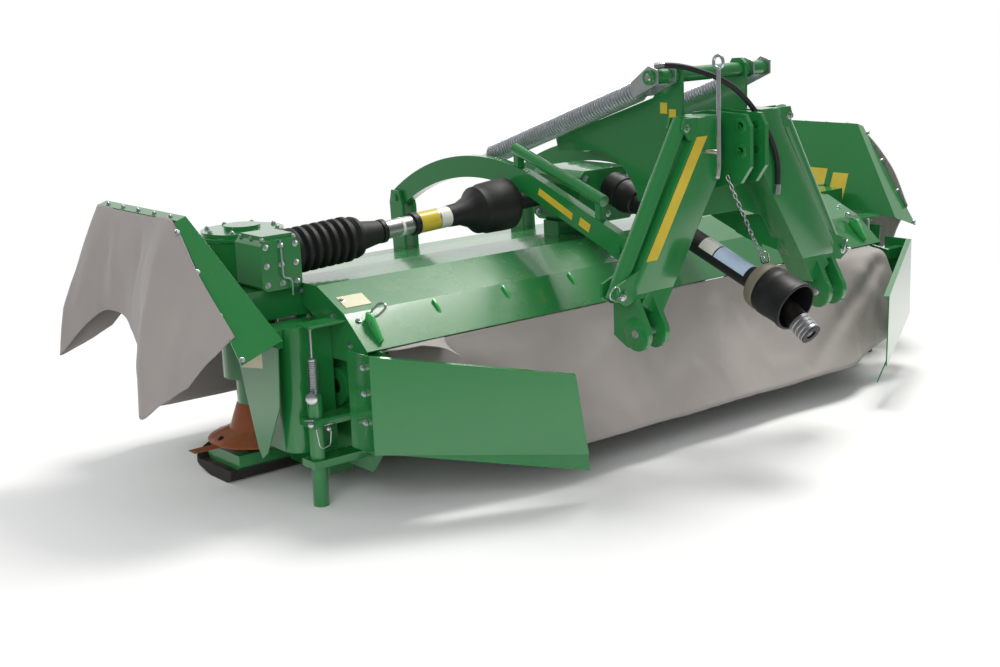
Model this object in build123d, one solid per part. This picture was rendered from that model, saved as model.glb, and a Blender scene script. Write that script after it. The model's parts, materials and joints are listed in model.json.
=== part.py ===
"""Front-mounted disc mower conditioner, three metres wide, millimetres.

Axes: +X to the machine's right, +Y the way it drives, +Z up, Z = 0 on the ground.
Every Y below is measured forward from the lower hitch pins; export moves it by HITCH_Y,
so that the part's origin lies on the ground under the middle of its box.
Whatever exists on both sides is modelled on the right and mirrored in the plane X = 0.
"""
from build123d import *
import math
import os

os.makedirs("parts", exist_ok=True)

# ------------------------------------------------------------------ shared clearances
SEAT = 0.3              # curved or moving faces that rest on one another
RUN = 0.05              # radial play of a shaft in its bore
MOVE = 8.0              # free space beside something that swings

# ------------------------------------------------------------------ overall places
HITCH_Y = -609.5        # lower hitch pins, from the part's origin
SIDE_WALL = 8.0         # end frame plate

# ------------------------------------------------------------------ cutterbar and discs
DISC_COUNT = 7
DISC_PITCH = 430.0
DISC_Y = 1000.0
DISC_R = 168.0
DISC_LOW = 112.0        # underside of the rotors
DRUM_TOP = 236.0        # top of the cone on the two outer rotors
DOME_TOP = 152.0        # top of the five low rotors
KNIFE_R = 250.0
KNIFE_W = 46.0
KNIFE_T = 4.0
BAR_LOW = 45.0
BAR_TOP = 95.0
BAR_BACK = 885.0
BAR_FRONT = 1105.0
HUB_R = 52.0
LUG_BACK = 640.0        # rear end of the cutterbar's two shoulders
LUG_TOP = 88.0
LUG_SPREAD = 40.0       # shoulder beyond each side of the end frame
SKID_W = 330.0
SKID_NOSE = 1205.0

# ------------------------------------------------------------------ places across the machine
RAIL_OUT = 160.0        # outer disc's centre to the side rail's outer face
DRIVE_ROOM = 260.0      # from there in to the end frame, with drive and jack between them
HOOD_OUT = 50.0         # end frame's inner face to the hood's outer face
FRAME_X = (DISC_COUNT - 1) / 2 * DISC_PITCH + RAIL_OUT
SIDE_X = FRAME_X - DRIVE_ROOM
HOOD_X = SIDE_X + HOOD_OUT
BAR_X = FRAME_X - 20

# ------------------------------------------------------------------ frame
BEAM_BACK, BEAM_FRONT = 740.0, 860.0
BEAM_LOW, BEAM_TOP = 560.0, 660.0
RAIL_LOW, RAIL_TOP = 500.0, 560.0
RAIL_W = 50.0
RAIL_BACK = 600.0
NOSE_BACK, NOSE_FRONT = 1450.0, 1530.0
NOSE_LOW, NOSE_TOP = 480.0, 560.0
TUBE_WALL = 8.0
SHEET = 4.0             # covers and guards
COVER_X = FRAME_X - RAIL_W

# ------------------------------------------------------------------ hood over the conditioner
HOOD_SHEET = 5.0
HOOD_TOP = BEAM_TOP + HOOD_SHEET
HOOD = [                # y, z of each fold, from the edge on the beam to the rear lip
    (770, HOOD_TOP),
    (645, HOOD_TOP),
    (495, 595),
    (378, 495),
]

# ------------------------------------------------------------------ conditioner
ROTOR_Y, ROTOR_Z = 600.0, 345.0
ROTOR_TUBE_R = 70.0
TINE_TIP_R = 218.0
TINE_ROWS = 4
TINES_IN_ROW = 14
SHAFT_R = 22.0
BEARING_R = 62.0
CONCAVE_R = 240.0
CONCAVE_T = 6.0

# ------------------------------------------------------------------ rear curtain and swath plates
CURTAIN_T = 6.0
CURTAIN_X = SIDE_X - 20
CURTAIN_LONG_X = 950.0              # it hangs lower between these
CURTAIN_LOW = 105.0
SWATH_ROOT = (FRAME_X - 150, 280.0) # plan place of the plate's bend
SWATH_FREE = (742.0, -34.0)         # plan place of its free end
SWATH_T = 5.0
SWATH_BEND = (206.0, 509.0)         # lower and upper end of the bend
SWATH_TOP_Z = 404.0
SWATH_FOLD_Z = 150.0                # fold above the lower strip, at the free end
SWATH_LOW_Z = 88.0
SWATH_TUCK = 26.0                   # the strip's lower edge, inwards off the plate
SWATH_FLANGE = 16.0
EAR_LOW, EAR_D = 440.0, 40.0        # end frame's ear that carries the plate

# ------------------------------------------------------------------ side guards
GUARD_HINGE_X, GUARD_HINGE_Z = FRAME_X + 17, 545.0
GUARD_TOP_X, GUARD_TOP_Z = GUARD_HINGE_X + 133, 917.0
GUARD_BACK_LOW, GUARD_BACK_TOP = 471.0, 781.0
GUARD_FRONT = 1341.0
GUARD_WING_LOW, GUARD_WING_TOP = 150.0, 38.0    # width of the rear wing at hinge and at top
HINGE_PIN_R = 6.0
KNUCKLE_R = 12.0
KNUCKLE_LEN = 60.0
KNUCKLE_AT = [680.0, 960.0, 1240.0]
GUARD_RIM = 30.0        # turned-out edges of the guard
SKIRT_T = 5.0
SKIRT_PLAY = 0.4        # canvas to the sheet that it hangs on
SKIRT_TIP_X = GUARD_TOP_X + 180
SKIRT_FRONT_TIP = (SKIRT_TIP_X, GUARD_FRONT + 79, 410.0)
SKIRT_BACK_TIP = (SKIRT_TIP_X, GUARD_BACK_TOP + 55, 303.0)

# ------------------------------------------------------------------ parking jacks
JACK_X, JACK_Y = FRAME_X - 102, 523.0
JACK_R = 25.0
JACK_TOP = 360.0
JACK_TRAVEL = 120.0
JACK_HOOK_Z = 580.0
JACK_COIL_TOP = 470.0
JACK_COLLARS = [130.0, 262.0]
COLLAR_T = 24.0
COLLAR_HALF = 37.0

# ------------------------------------------------------------------ drive line
SHROUD_R = 135.0        # rounded gear housing over the left outer disc
SHROUD_LOW_R = 100.0    # its lower part, inside the side rail
SHROUD_TOP = 832.0
GEARCASE = dict(x0=HOOD_X + 15, x1=FRAME_X - 52, y0=700.0, y1=859.0, z0=BEAM_TOP, z1=818.0)
CENTRE_BOX = dict(x=130.0, y0=640.0, y1=900.0, z0=712.0, z1=905.0)
CROSS_Y = 790.0
CROSS_Z_OUT, CROSS_Z_IN = 757.0, 818.0
CROSS_STATIONS = [      # share of the length from the outer end, radius
    (0.0, 72),
    (0.21, 76),
    (0.28, 36),
    (0.56, 36),
    (0.68, 84),
    (0.80, 92),
    (0.815, 34),
    (1.0, 34),
]
INPUT_JOINT = (0.0, -128.0, 560.0)      # centre of the rear universal joint
INPUT_SLOPE = 0.38
INPUT_STATIONS = [      # share of the length from the rear end, radius
    (0.0, 80),
    (0.14, 74),
    (0.26, 38),
    (0.82, 38),
    (0.88, 60),
    (1.0, 60),
]
BELL_WALL = 6.0
BELL_DEPTH = 96.0
INPUT_YOKE = (0.0, -300.0, 437.0)
SPLINE_R = 17.5         # 35 mm six-splined power take-off bore

# ------------------------------------------------------------------ headstock
PIN_X, PIN_Z = 435.0, 478.0
PIN_BORE_R = 14.25      # for a 28 mm pin
PIN_EYE_R = 50.0
EYE_GAP = 56.0
EYE_T = 20.0
LEG_Y = 50.0
LEG_FOOT = (412.0, 540.0)           # x, z
LEG_HEAD = (150.0, 950.0)
LEG_W = 100.0
LEG_D = 100.0
MAST_Y, TUBE_Z = 140.0, 1255.0      # spring cross tube
MAST_PLATE = 10.0
MAST_TUBE_R = 24.0
CHEEK_X = 150.0         # centre of the tall side plates
CHEEK_T = 12.0
TOP_LUG_GAP = 56.0
TOP_LUG_T = 16.0
TOP_HOLE_R = 12.8
TOP_HOLES = [1090.0, 1010.0]
TOP_HOLE_Y = -42.0

# ------------------------------------------------------------------ float linkage
ARM_X = 300.0
ARM_T = 36.0
ARM_D = 78.0
ARM_FRONT = (1500.0, 764.0)
ARM_APEX = (1050.0, 916.0)
ARM_BEND = (660.0, 860.0)
ARM_REAR = (232.0, 700.0)
ARM_PIN_R = 15.0
EAR_GAP = 2.0           # arm to the ears on each side of it
EAR_T = 14.0
SPRING_X = 225.0
SPRING_R = 37.0
SPRING_TOP = (MAST_Y + 82, TUBE_Z - 43)
SPRING_END = (1012.0, 951.0)
SPRING_HOOK = 35.0
SPRING_ROOM = 6.0       # spring to its bracket
BRACKET_T = 6.0
SCREW_R = 12.0
SCREW_SHARE = 0.065     # screw's length as a share of the spring's
LOCK_FRONT = (790.0, 996.0)
LOCK_REAR = (330.0, 846.0)
LOCK_R = 20.0
SPRING_STUD_R = 14.0
LEVER_AT = (-110.0, -60.0, TUBE_Z - 275, TUBE_Z + 46)     # x, y, lower and upper end
LEVER_R = 7.0
LEVER_RING = 20.0
HOSE_R = 9.0
HOSE_ROUTE = [          # x, y, z points set by hand
    (-240, 140, 1288.3),
    (-205, 96, 1297),
    (-116, -14, 1251),
    (0, -16, 1186),
    (120, -15, 1060),
    (178, -14, 938),
    (168, -9.3, 850),
]
STRUT_R = 27.0
STRUT_Y = 40.0
STRUT_BOLT_R = 9.0
LUG_T = 10.0
STRUT_HEAD = (232.0, 1120.0)
STRUT_FOOT = (540.0, 590.0)


# ================================================================== helpers
def slab(outline, x0, x1):
    """Side outline of (y, z) points, extruded from x0 to x1."""
    face = Plane.YZ.offset(x0) * Polygon(*outline, align=None)
    return extrude(face, amount=x1 - x0, dir=(1, 0, 0))


def wall(outline, y0, y1):
    """Front outline of (x, z) points, extruded from y0 to y1."""
    face = Plane.XZ.offset(-y0) * Polygon(*outline, align=None)
    return extrude(face, amount=y1 - y0, dir=(0, 1, 0))


def block(x0, x1, y0, y1, z0, z1):
    """Box between six planes."""
    return Pos((x0 + x1) / 2, (y0 + y1) / 2, (z0 + z1) / 2) * Box(x1 - x0, y1 - y0, z1 - z0)


def rod(start, end, radius, bore=0.0):
    """Round bar or tube from one point to another."""
    axis = Vector(*end) - Vector(*start)
    section = Circle(radius)
    if bore:
        section = section - Circle(bore)
    return extrude(Plane(origin=start, z_dir=axis) * section, amount=axis.length, dir=axis)


def cross_rod(x0, x1, y, z, radius, bore=0.0):
    """Round bar or tube along X."""
    return rod((x0, y, z), (x1, y, z), radius, bore)


def taper(start, end, r0, r1):
    """Cone from one point to another."""
    axis = Vector(*end) - Vector(*start)
    height = axis.length
    cone = Cone(r0, r1, height, align=(Align.CENTER, Align.CENTER, Align.MIN))
    return Plane(origin=start, z_dir=axis) * cone


def bar(start, end, width, depth, side):
    """Rectangular bar; width lies along side, depth across it."""
    axis = Vector(*end) - Vector(*start)
    section = Plane(origin=start, x_dir=side, z_dir=axis) * Rectangle(width, depth)
    return extrude(section, amount=axis.length, dir=axis)


def inner_folds(points, thickness):
    """Fold points on the other face of a folded sheet of that thickness."""
    outer = [Vector(*p) for p in points]
    inner = []
    for i, point in enumerate(outer):
        before = outer[max(i - 1, 0)]
        after = outer[min(i + 1, len(outer) - 1)]
        normals = []
        for a, b in ((before, point), (point, after)):
            if (b - a).length > 0:
                d = (b - a).normalized()
                normals.append(Vector(-d.Y, d.X))
        mean = sum(normals, Vector(0, 0)) * (1 / len(normals))
        inner.append(point + mean * (thickness / mean.length ** 2))
    return [(p.X, p.Y) for p in inner]


def strip(points, thickness, x0, x1):
    """Folded sheet: (y, z) fold points, thickened to one side and extruded along X."""
    return slab(list(points) + inner_folds(points, thickness)[::-1], x0, x1)


def facet(a, b, c, thickness):
    """Flat triangular sheet on three corner points."""
    normal = (Vector(*b) - Vector(*a)).cross(Vector(*c) - Vector(*a)).normalized()
    face = Face(Wire.make_polygon([Vector(*a), Vector(*b), Vector(*c)], close=True))
    return extrude(face, amount=thickness, dir=normal)


def turned(a, b, stations):
    """Round body of cylinders and cones along a line, from (share, radius) stations."""
    body = None
    for (t0, r0), (t1, r1) in zip(stations, stations[1:]):
        start, end = along(a, b, t0), along(a, b, t1)
        piece = rod(start, end, r0) if r0 == r1 else taper(start, end, r0, r1)
        body = piece if body is None else body + piece
    return body


def mirrored(solid):
    """The same piece on the other side of the machine."""
    return mirror(solid, about=Plane.YZ)


def along(a, b, t):
    """Point at share t of the way from a to b."""
    return tuple(p + (q - p) * t for p, q in zip(a, b))


NODES = {}


def node(name, *solids):
    """Join the solids of one sub-part and keep it under its name."""
    whole = solids[0]
    for solid in solids[1:]:
        whole = whole + solid
    NODES[name] = whole


def pair(name, *solids):
    """A sub-part that exists right and left, modelled on the right."""
    node(name + "_right", *solids)
    NODES[name + "_left"] = mirrored(NODES[name + "_right"])


def both(solid):
    """A piece and its mirror image, for one node."""
    return solid + mirrored(solid)


# ================================================================== cutterbar
def disc_x(index):
    """Centre of a disc, counted from the left."""
    return (index - (DISC_COUNT - 1) / 2) * DISC_PITCH


def build_cutterbar():
    """Flat gear housing with a bevelled nose, a hub under each disc and two shoulders."""
    outline = [
        (BAR_BACK, BAR_LOW + 12),
        (BAR_BACK, BAR_TOP),
        (BAR_FRONT - 35, BAR_TOP),
        (BAR_FRONT, BAR_LOW + 22),
        (BAR_FRONT - 20, BAR_LOW),
        (BAR_BACK + 15, BAR_LOW),
    ]
    housing = slab(outline, -BAR_X, BAR_X)
    hubs = [
        rod((disc_x(i), DISC_Y, BAR_TOP), (disc_x(i), DISC_Y, DISC_LOW - SEAT), HUB_R)
        for i in range(DISC_COUNT)
    ]
    shoulder = block(
        SIDE_X - LUG_SPREAD, SIDE_X + SIDE_WALL + LUG_SPREAD, LUG_BACK, BAR_BACK, BAR_LOW, LUG_TOP
    )
    node("cutterbar", housing, *hubs, both(shoulder))


def build_skids():
    """One wear shoe under each disc, swept up in front of the housing."""
    outline = [
        (BAR_BACK + 15, BAR_LOW),
        (BAR_BACK + 22, 14),
        (BAR_BACK + 50, 0),
        (DISC_Y + 45, 0),
        (DISC_Y + 120, 18),
        (SKID_NOSE, 70),
        (SKID_NOSE - 3, 78),
        (DISC_Y + 112, BAR_LOW - 4),
        (BAR_FRONT - 20, BAR_LOW),
    ]
    shoes = []
    for i in range(DISC_COUNT):
        x = disc_x(i)
        shoe = slab(outline, x - SKID_W / 2, x + SKID_W / 2)
        plan_form = rod((x, DISC_Y - 25, -10), (x, DISC_Y - 25, 120), SKID_NOSE - DISC_Y + 25)
        shoes.append(shoe & plan_form)
    node("skids", *shoes)


def build_discs():
    """Rotors with two knives each; the outer two carry a cone that steers the crop inwards."""
    for i in range(DISC_COUNT):
        outer = i in (0, DISC_COUNT - 1)
        top = DRUM_TOP if outer else DOME_TOP
        crown = [(62, top), (92, DOME_TOP)] if outer else [(70, top), (95, DOME_TOP - 6)]
        outline = [(0, DISC_LOW), (DISC_R - 4, DISC_LOW), (DISC_R, DISC_LOW + 6)]
        outline += [(DISC_R - 12, DISC_LOW + 14)] + crown[::-1] + [(0, top)]
        face = Plane.XZ * Polygon(*outline, align=None)
        rotor = revolve(face, axis=Axis.Z)
        for turn in (0, 180):
            ramp = extrude(
                Plane.XZ.offset(-14) * Polygon(
                    (88, DISC_LOW + 20),
                    (DISC_R - 14, DISC_LOW + 12),
                    (DISC_R - 14, DISC_LOW + 20),
                    (90, DOME_TOP + 12),
                    align=None,
                ),
                amount=28,
                dir=(0, -1, 0),
            )
            rotor += Rot(0, 0, turn + 90) * ramp
            knife = block(120, KNIFE_R, -KNIFE_W / 2, KNIFE_W / 2, DISC_LOW - KNIFE_T, DISC_LOW)
            rotor += Rot(0, 0, turn) * knife
        rotor = Pos(disc_x(i), DISC_Y, 0) * Rot(0, 0, 90 * (i % 2)) * rotor
        node(f"disc_{i + 1}", rotor)


# ================================================================== frame
def build_frame():
    """Cross beam, nose tube and side rails of the carrying frame."""
    beam = block(-FRAME_X, FRAME_X, BEAM_BACK, BEAM_FRONT, BEAM_LOW, BEAM_TOP)
    beam -= block(
        -FRAME_X, FRAME_X, BEAM_BACK + TUBE_WALL, BEAM_FRONT - TUBE_WALL,
        BEAM_LOW + TUBE_WALL, BEAM_TOP - TUBE_WALL,
    )
    half = CENTRE_BOX["x"] - 10
    pedestal = block(-half, half, HOOD[0][0] + 8, BEAM_FRONT, BEAM_TOP, CENTRE_BOX["z0"])
    node("main_beam", beam, pedestal)

    tube = block(
        -FRAME_X + RAIL_W, FRAME_X - RAIL_W, NOSE_BACK, NOSE_FRONT, NOSE_LOW, NOSE_TOP
    )
    tube -= block(
        -FRAME_X, FRAME_X, NOSE_BACK + TUBE_WALL, NOSE_FRONT - TUBE_WALL,
        NOSE_LOW + TUBE_WALL, NOSE_TOP - TUBE_WALL,
    )
    y, z = ARM_FRONT
    ear_outline = [
        (NOSE_BACK, NOSE_TOP),
        (NOSE_FRONT, NOSE_TOP),
        (y + 40, z - 20),
        (y + 26, z + 30),
        (y - 26, z + 30),
        (y - 46, z - 30),
    ]
    ears = []
    for x in (ARM_X - ARM_T / 2 - EAR_GAP - EAR_T, ARM_X + ARM_T / 2 + EAR_GAP):
        ears.append(both(slab(ear_outline, x, x + EAR_T)))
    reach = ARM_T / 2 + EAR_GAP + EAR_T + 8
    pin = cross_rod(ARM_X - reach, ARM_X + reach, y, z, ARM_PIN_R)
    node("nose_tube", tube, *ears, both(pin))

    rail = block(FRAME_X - RAIL_W, FRAME_X, RAIL_BACK, NOSE_FRONT, RAIL_LOW, RAIL_TOP)
    divider = slab(
        [(540, 520), (800, 520), (783, 414), (706, 170), (686, 139), (650, 165), (556, 330)],
        FRAME_X,
        FRAME_X + SHEET,
    )
    pieces = [rail, divider]
    for y in KNUCKLE_AT:
        y0, y1 = y - KNUCKLE_LEN / 2, y + KNUCKLE_LEN / 2
        axis_at = (GUARD_HINGE_X, GUARD_HINGE_Z)
        pieces.append(rod((axis_at[0], y0, axis_at[1]), (axis_at[0], y1, axis_at[1]), KNUCKLE_R))
        pieces.append(block(FRAME_X, axis_at[0], y0, y1, axis_at[1] - 10, axis_at[1] + 2))
        pin_start = (axis_at[0], y - KNUCKLE_LEN * 1.5, axis_at[1])
        pin_end = (axis_at[0], y + KNUCKLE_LEN * 1.5, axis_at[1])
        pieces.append(rod(pin_start, pin_end, HINGE_PIN_R))
    pair("side_rail", *pieces)


def build_covers():
    """Folded sheet over the discs, and the crop curtain that hangs from its front."""
    folds = [(BEAM_FRONT + SEAT, BEAM_TOP - 30), (1180, BEAM_TOP - 44), (NOSE_BACK, NOSE_TOP)]
    cover = strip(folds, -SHEET, -COVER_X, COVER_X)
    shroud_x = disc_x(0)
    cover -= rod((shroud_x, DISC_Y, 0), (shroud_x, DISC_Y, SHROUD_TOP), SHROUD_R + MOVE)
    node("front_cover", cover)
    curtain = block(
        -FRAME_X + RAIL_W, FRAME_X - RAIL_W,
        NOSE_FRONT, NOSE_FRONT + CURTAIN_T, CURTAIN_LOW + 20, NOSE_TOP - 10,
    )
    node("front_curtain", curtain)


def build_hood():
    """Folded hood that lies on the beam, with its end walls and the jacks' hook plates."""
    sheet = strip(HOOD, HOOD_SHEET, -HOOD_X, HOOD_X)
    (corner_y, corner_z), (lip_y, lip_z) = HOOD[-2:]
    end_outline = HOOD + [
        (lip_y + 14, lip_z - 43),
        (corner_y + 145, lip_z - 55),
        (corner_y + 165, corner_z - 35),
        (BEAM_BACK - 5, corner_z),
        (BEAM_BACK - 5, BEAM_TOP),
    ]
    end = slab(end_outline, HOOD_X - HOOD_SHEET, HOOD_X)
    hook_plate = block(
        HOOD_X, JACK_X + JACK_R, JACK_Y - COLLAR_HALF, JACK_Y + COLLAR_HALF,
        JACK_HOOK_Z - SIDE_WALL, JACK_HOOK_Z,
    )
    node("hood", sheet, both(end), both(hook_plate))


def build_end_frames():
    """Upright plates that join the cutterbar's shoulders, the beam and the hood."""
    front_edge = BEAM_FRONT - 5
    lip_y, lip_z = HOOD[-1]
    outline = [
        (LUG_BACK, LUG_TOP),
        (735, LUG_TOP),
        (738, 250),
        (front_edge - 20, 300),
        (front_edge, BEAM_LOW),
        (BEAM_BACK, BEAM_LOW),
        (BEAM_BACK, BEAM_TOP),
    ]
    outline += inner_folds(HOOD, HOOD_SHEET)[1:]
    outline += [
        (SWATH_ROOT[1] + 20, EAR_LOW + EAR_D),
        (SWATH_ROOT[1] + 20, EAR_LOW),
        (lip_y + 17, EAR_LOW - 20),
        (lip_y + 22, 150),
        (lip_y + 72, LUG_TOP),
    ]
    frame = slab(outline, SIDE_X, SIDE_X + SIDE_WALL)
    frame += cross_rod(SIDE_X - 30, SIDE_X + SIDE_WALL + 22, ROTOR_Y, ROTOR_Z, BEARING_R)
    for z in JACK_COLLARS:
        frame += block(
            SIDE_X + SIDE_WALL, JACK_X + JACK_R + 12,
            JACK_Y - COLLAR_HALF, JACK_Y + COLLAR_HALF, z, z + COLLAR_T,
        )
    frame -= cross_rod(SIDE_X - 40, SIDE_X + 40, ROTOR_Y, ROTOR_Z, SHAFT_R + RUN)
    frame -= rod((JACK_X, JACK_Y, 0), (JACK_X, JACK_Y, JACK_TOP + 60), JACK_R + RUN)
    pair("end_frame", frame)


# ================================================================== crop guides behind
def build_swath_plates():
    """Bent plates that gather the swath, each with a top flange and a folded lower strip."""
    root = Vector(*SWATH_ROOT, 0)
    run = Vector(*SWATH_FREE, 0) - root
    side = Plane(origin=root, x_dir=run, z_dir=run.cross(Vector(0, 0, 1)))
    end = run.length
    fold_z, low_z = SWATH_FOLD_Z, SWATH_LOW_Z

    def on_plate(s, z, inward=0.0):
        """Point at distance s from the bend, at height z, moved inwards off the plate."""
        return tuple(side.from_local_coords((s, z, inward)))

    plate = extrude(
        side * Polygon(
            (0, SWATH_BEND[0]), (0, SWATH_BEND[1]), (end - 20, SWATH_TOP_Z), (end + 14, fold_z),
            align=None,
        ),
        amount=SWATH_T,
    )
    flange = extrude(
        side * Polygon(
            (0, SWATH_BEND[1]), (0, SWATH_BEND[1] - SWATH_T),
            (end - 20, SWATH_TOP_Z - SWATH_T), (end - 20, SWATH_TOP_Z),
            align=None,
        ),
        amount=SWATH_FLANGE,
    )
    lower = facet(
        on_plate(2, SWATH_BEND[0] + 4, 1),
        on_plate(end + 12, fold_z + 4, 1),
        on_plate(end + 22, low_z, SWATH_TUCK),
        -SWATH_T,
    )
    x, y = SWATH_ROOT
    lip_y = HOOD[-1][0]
    cheek = block(x - SWATH_T, x, y - 1, lip_y + 22, *SWATH_BEND)
    link = block(SIDE_X + SIDE_WALL, x - SWATH_T, y + 20, y + 60, EAR_LOW, EAR_LOW + EAR_D)
    pair("swath_plate", plate, flange, lower, cheek, link)


def build_rear_curtain():
    """Canvas behind the conditioner, hung from the hood's rear edge, longer in the middle."""
    (fold_y, fold_z), (edge_y, edge_z) = HOOD[-2:]
    slope = (fold_z - edge_z) / (fold_y - edge_y)
    under_sheet = HOOD_SHEET * math.hypot(1, slope)
    top_y = edge_y + CURTAIN_T
    top_z = edge_z + (top_y - edge_y) * slope - under_sheet - SEAT
    folds = [
        (top_y, top_z),
        (edge_y - 6, 430),
        (edge_y - 28, 345),
    ]
    middle = folds + [(edge_y - 128, 220), (edge_y - 238, CURTAIN_LOW)]
    flank = folds + [(edge_y - 78, 240)]
    node(
        "rear_curtain",
        strip(middle, CURTAIN_T, -CURTAIN_LONG_X, CURTAIN_LONG_X),
        both(strip(flank, CURTAIN_T, CURTAIN_LONG_X, CURTAIN_X)),
    )


# ================================================================== conditioner
def build_conditioner():
    """Tined rotor and the curved plate above it."""
    half = SIDE_X - 40
    bore = ROTOR_TUBE_R - TUBE_WALL
    rotor = cross_rod(-half, half, ROTOR_Y, ROTOR_Z, ROTOR_TUBE_R, bore)
    for side in (-1, 1):
        rotor += cross_rod(side * (half - 12), side * half, ROTOR_Y, ROTOR_Z, bore + 1)
        rotor += cross_rod(side * (half - 12), side * (SIDE_X + 28), ROTOR_Y, ROTOR_Z, SHAFT_R)
    pitch = 2 * (SIDE_X - 90) / (TINES_IN_ROW - 1)
    for row in range(TINE_ROWS):
        angle = 360 / TINE_ROWS * row
        shift = pitch / 2 * (row % 2)
        for k in range(TINES_IN_ROW - row % 2):
            x = -SIDE_X + 90 + k * pitch + shift
            tine = block(-6, 6, -22, 22, ROTOR_TUBE_R - 4, TINE_TIP_R)
            rotor += Pos(x, ROTOR_Y, ROTOR_Z) * Rot(angle, 0, 0) * tine
    node("tine_rotor", rotor)

    start, end = 20.0, 140.0
    with_arc = []
    steps = 7
    for i in range(steps + 1):
        a = math.radians(start + (end - start) * i / steps)
        with_arc.append((ROTOR_Y + CONCAVE_R * math.cos(a), ROTOR_Z + CONCAVE_R * math.sin(a)))
    guide = strip(with_arc, -CONCAVE_T, -SIDE_X, SIDE_X)
    guide -= block(-FRAME_X, FRAME_X, BEAM_BACK - 1, BEAM_FRONT, 300, BEAM_TOP)
    node("conditioner_plate", guide)


# ================================================================== drive line
def build_drives():
    """Gear cases, shrouds and the two guarded shafts."""
    x = disc_x(0)
    shroud = rod((x, DISC_Y, DRUM_TOP + SEAT), (x, DISC_Y, SHROUD_TOP), 60)
    shroud += rod((x, DISC_Y, 330), (x, DISC_Y, BEAM_LOW), SHROUD_LOW_R)
    shroud += rod((x, DISC_Y, RAIL_TOP + 4), (x, DISC_Y, SHROUD_TOP - 14), SHROUD_R)
    shroud += block(x - 100, x + 100, BEAM_FRONT, DISC_Y, BEAM_LOW, BEAM_LOW + 30)
    node("drive_shroud", shroud)

    case = block(
        -GEARCASE["x1"], -GEARCASE["x0"], GEARCASE["y0"], GEARCASE["y1"], GEARCASE["z0"], GEARCASE["z1"]
    )
    case = chamfer(case.edges().filter_by(Axis.Y), 14)
    lid = block(
        -GEARCASE["x1"] + 15, -GEARCASE["x0"] - 15, GEARCASE["y0"] + 15, GEARCASE["y1"] - 15,
        GEARCASE["z1"], GEARCASE["z1"] + 14,
    )
    node("side_gearcase", case, lid)

    cover_x0, cover_x1 = -FRAME_X + RAIL_W, -HOOD_X
    cover = slab([(575, 160), (735, 160), (735, 480), (700, 560), (575, 560)], cover_x0, cover_x1)
    cover = fillet(cover.edges().filter_by(Axis.Z).sort_by(Axis.Y)[0], 60)
    node("belt_cover", cover)

    box = block(
        -CENTRE_BOX["x"], CENTRE_BOX["x"], CENTRE_BOX["y0"], CENTRE_BOX["y1"],
        CENTRE_BOX["z0"], CENTRE_BOX["z1"],
    )
    box = chamfer(box.edges().filter_by(Axis.Y), 22)
    node("centre_gearcase", box)

    outer_x, inner_x = -GEARCASE["x0"], -CENTRE_BOX["x"]
    lean = math.sin(math.atan2(CROSS_Z_IN - CROSS_Z_OUT, inner_x - outer_x))
    cross_out = (outer_x + CROSS_STATIONS[0][1] * lean + SEAT, CROSS_Y, CROSS_Z_OUT)
    cross_in = (inner_x - CROSS_STATIONS[-1][1] * lean - SEAT, CROSS_Y, CROSS_Z_IN)
    node("cross_shaft_guard", turned(cross_out, cross_in, CROSS_STATIONS))

    lean = math.sin(math.atan(INPUT_SLOPE))
    front_y = CENTRE_BOX["y0"] - INPUT_STATIONS[-1][1] * lean - SEAT
    front_z = INPUT_JOINT[2] + (front_y - INPUT_JOINT[1]) * INPUT_SLOPE
    input_front = (0, front_y, front_z)
    guard = turned(INPUT_JOINT, input_front, INPUT_STATIONS)
    bell = BELL_DEPTH / math.dist(INPUT_JOINT, input_front)
    bell_floor = along(INPUT_JOINT, input_front, bell)
    guard -= rod(INPUT_JOINT, bell_floor, INPUT_STATIONS[1][1] - BELL_WALL)
    node("input_shaft_guard", guard)

    mid = along(INPUT_JOINT, INPUT_YOKE, 0.45)
    yoke = rod(bell_floor, INPUT_JOINT, 26)
    yoke += Pos(*INPUT_JOINT) * Sphere(34)
    yoke += rod(INPUT_JOINT, mid, 30)
    yoke += rod(mid, INPUT_YOKE, 36)
    splines = rod(along(INPUT_JOINT, INPUT_YOKE, 0.6), along(INPUT_JOINT, INPUT_YOKE, 1.2), SPLINE_R)
    node("input_yoke", yoke - splines)


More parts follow.
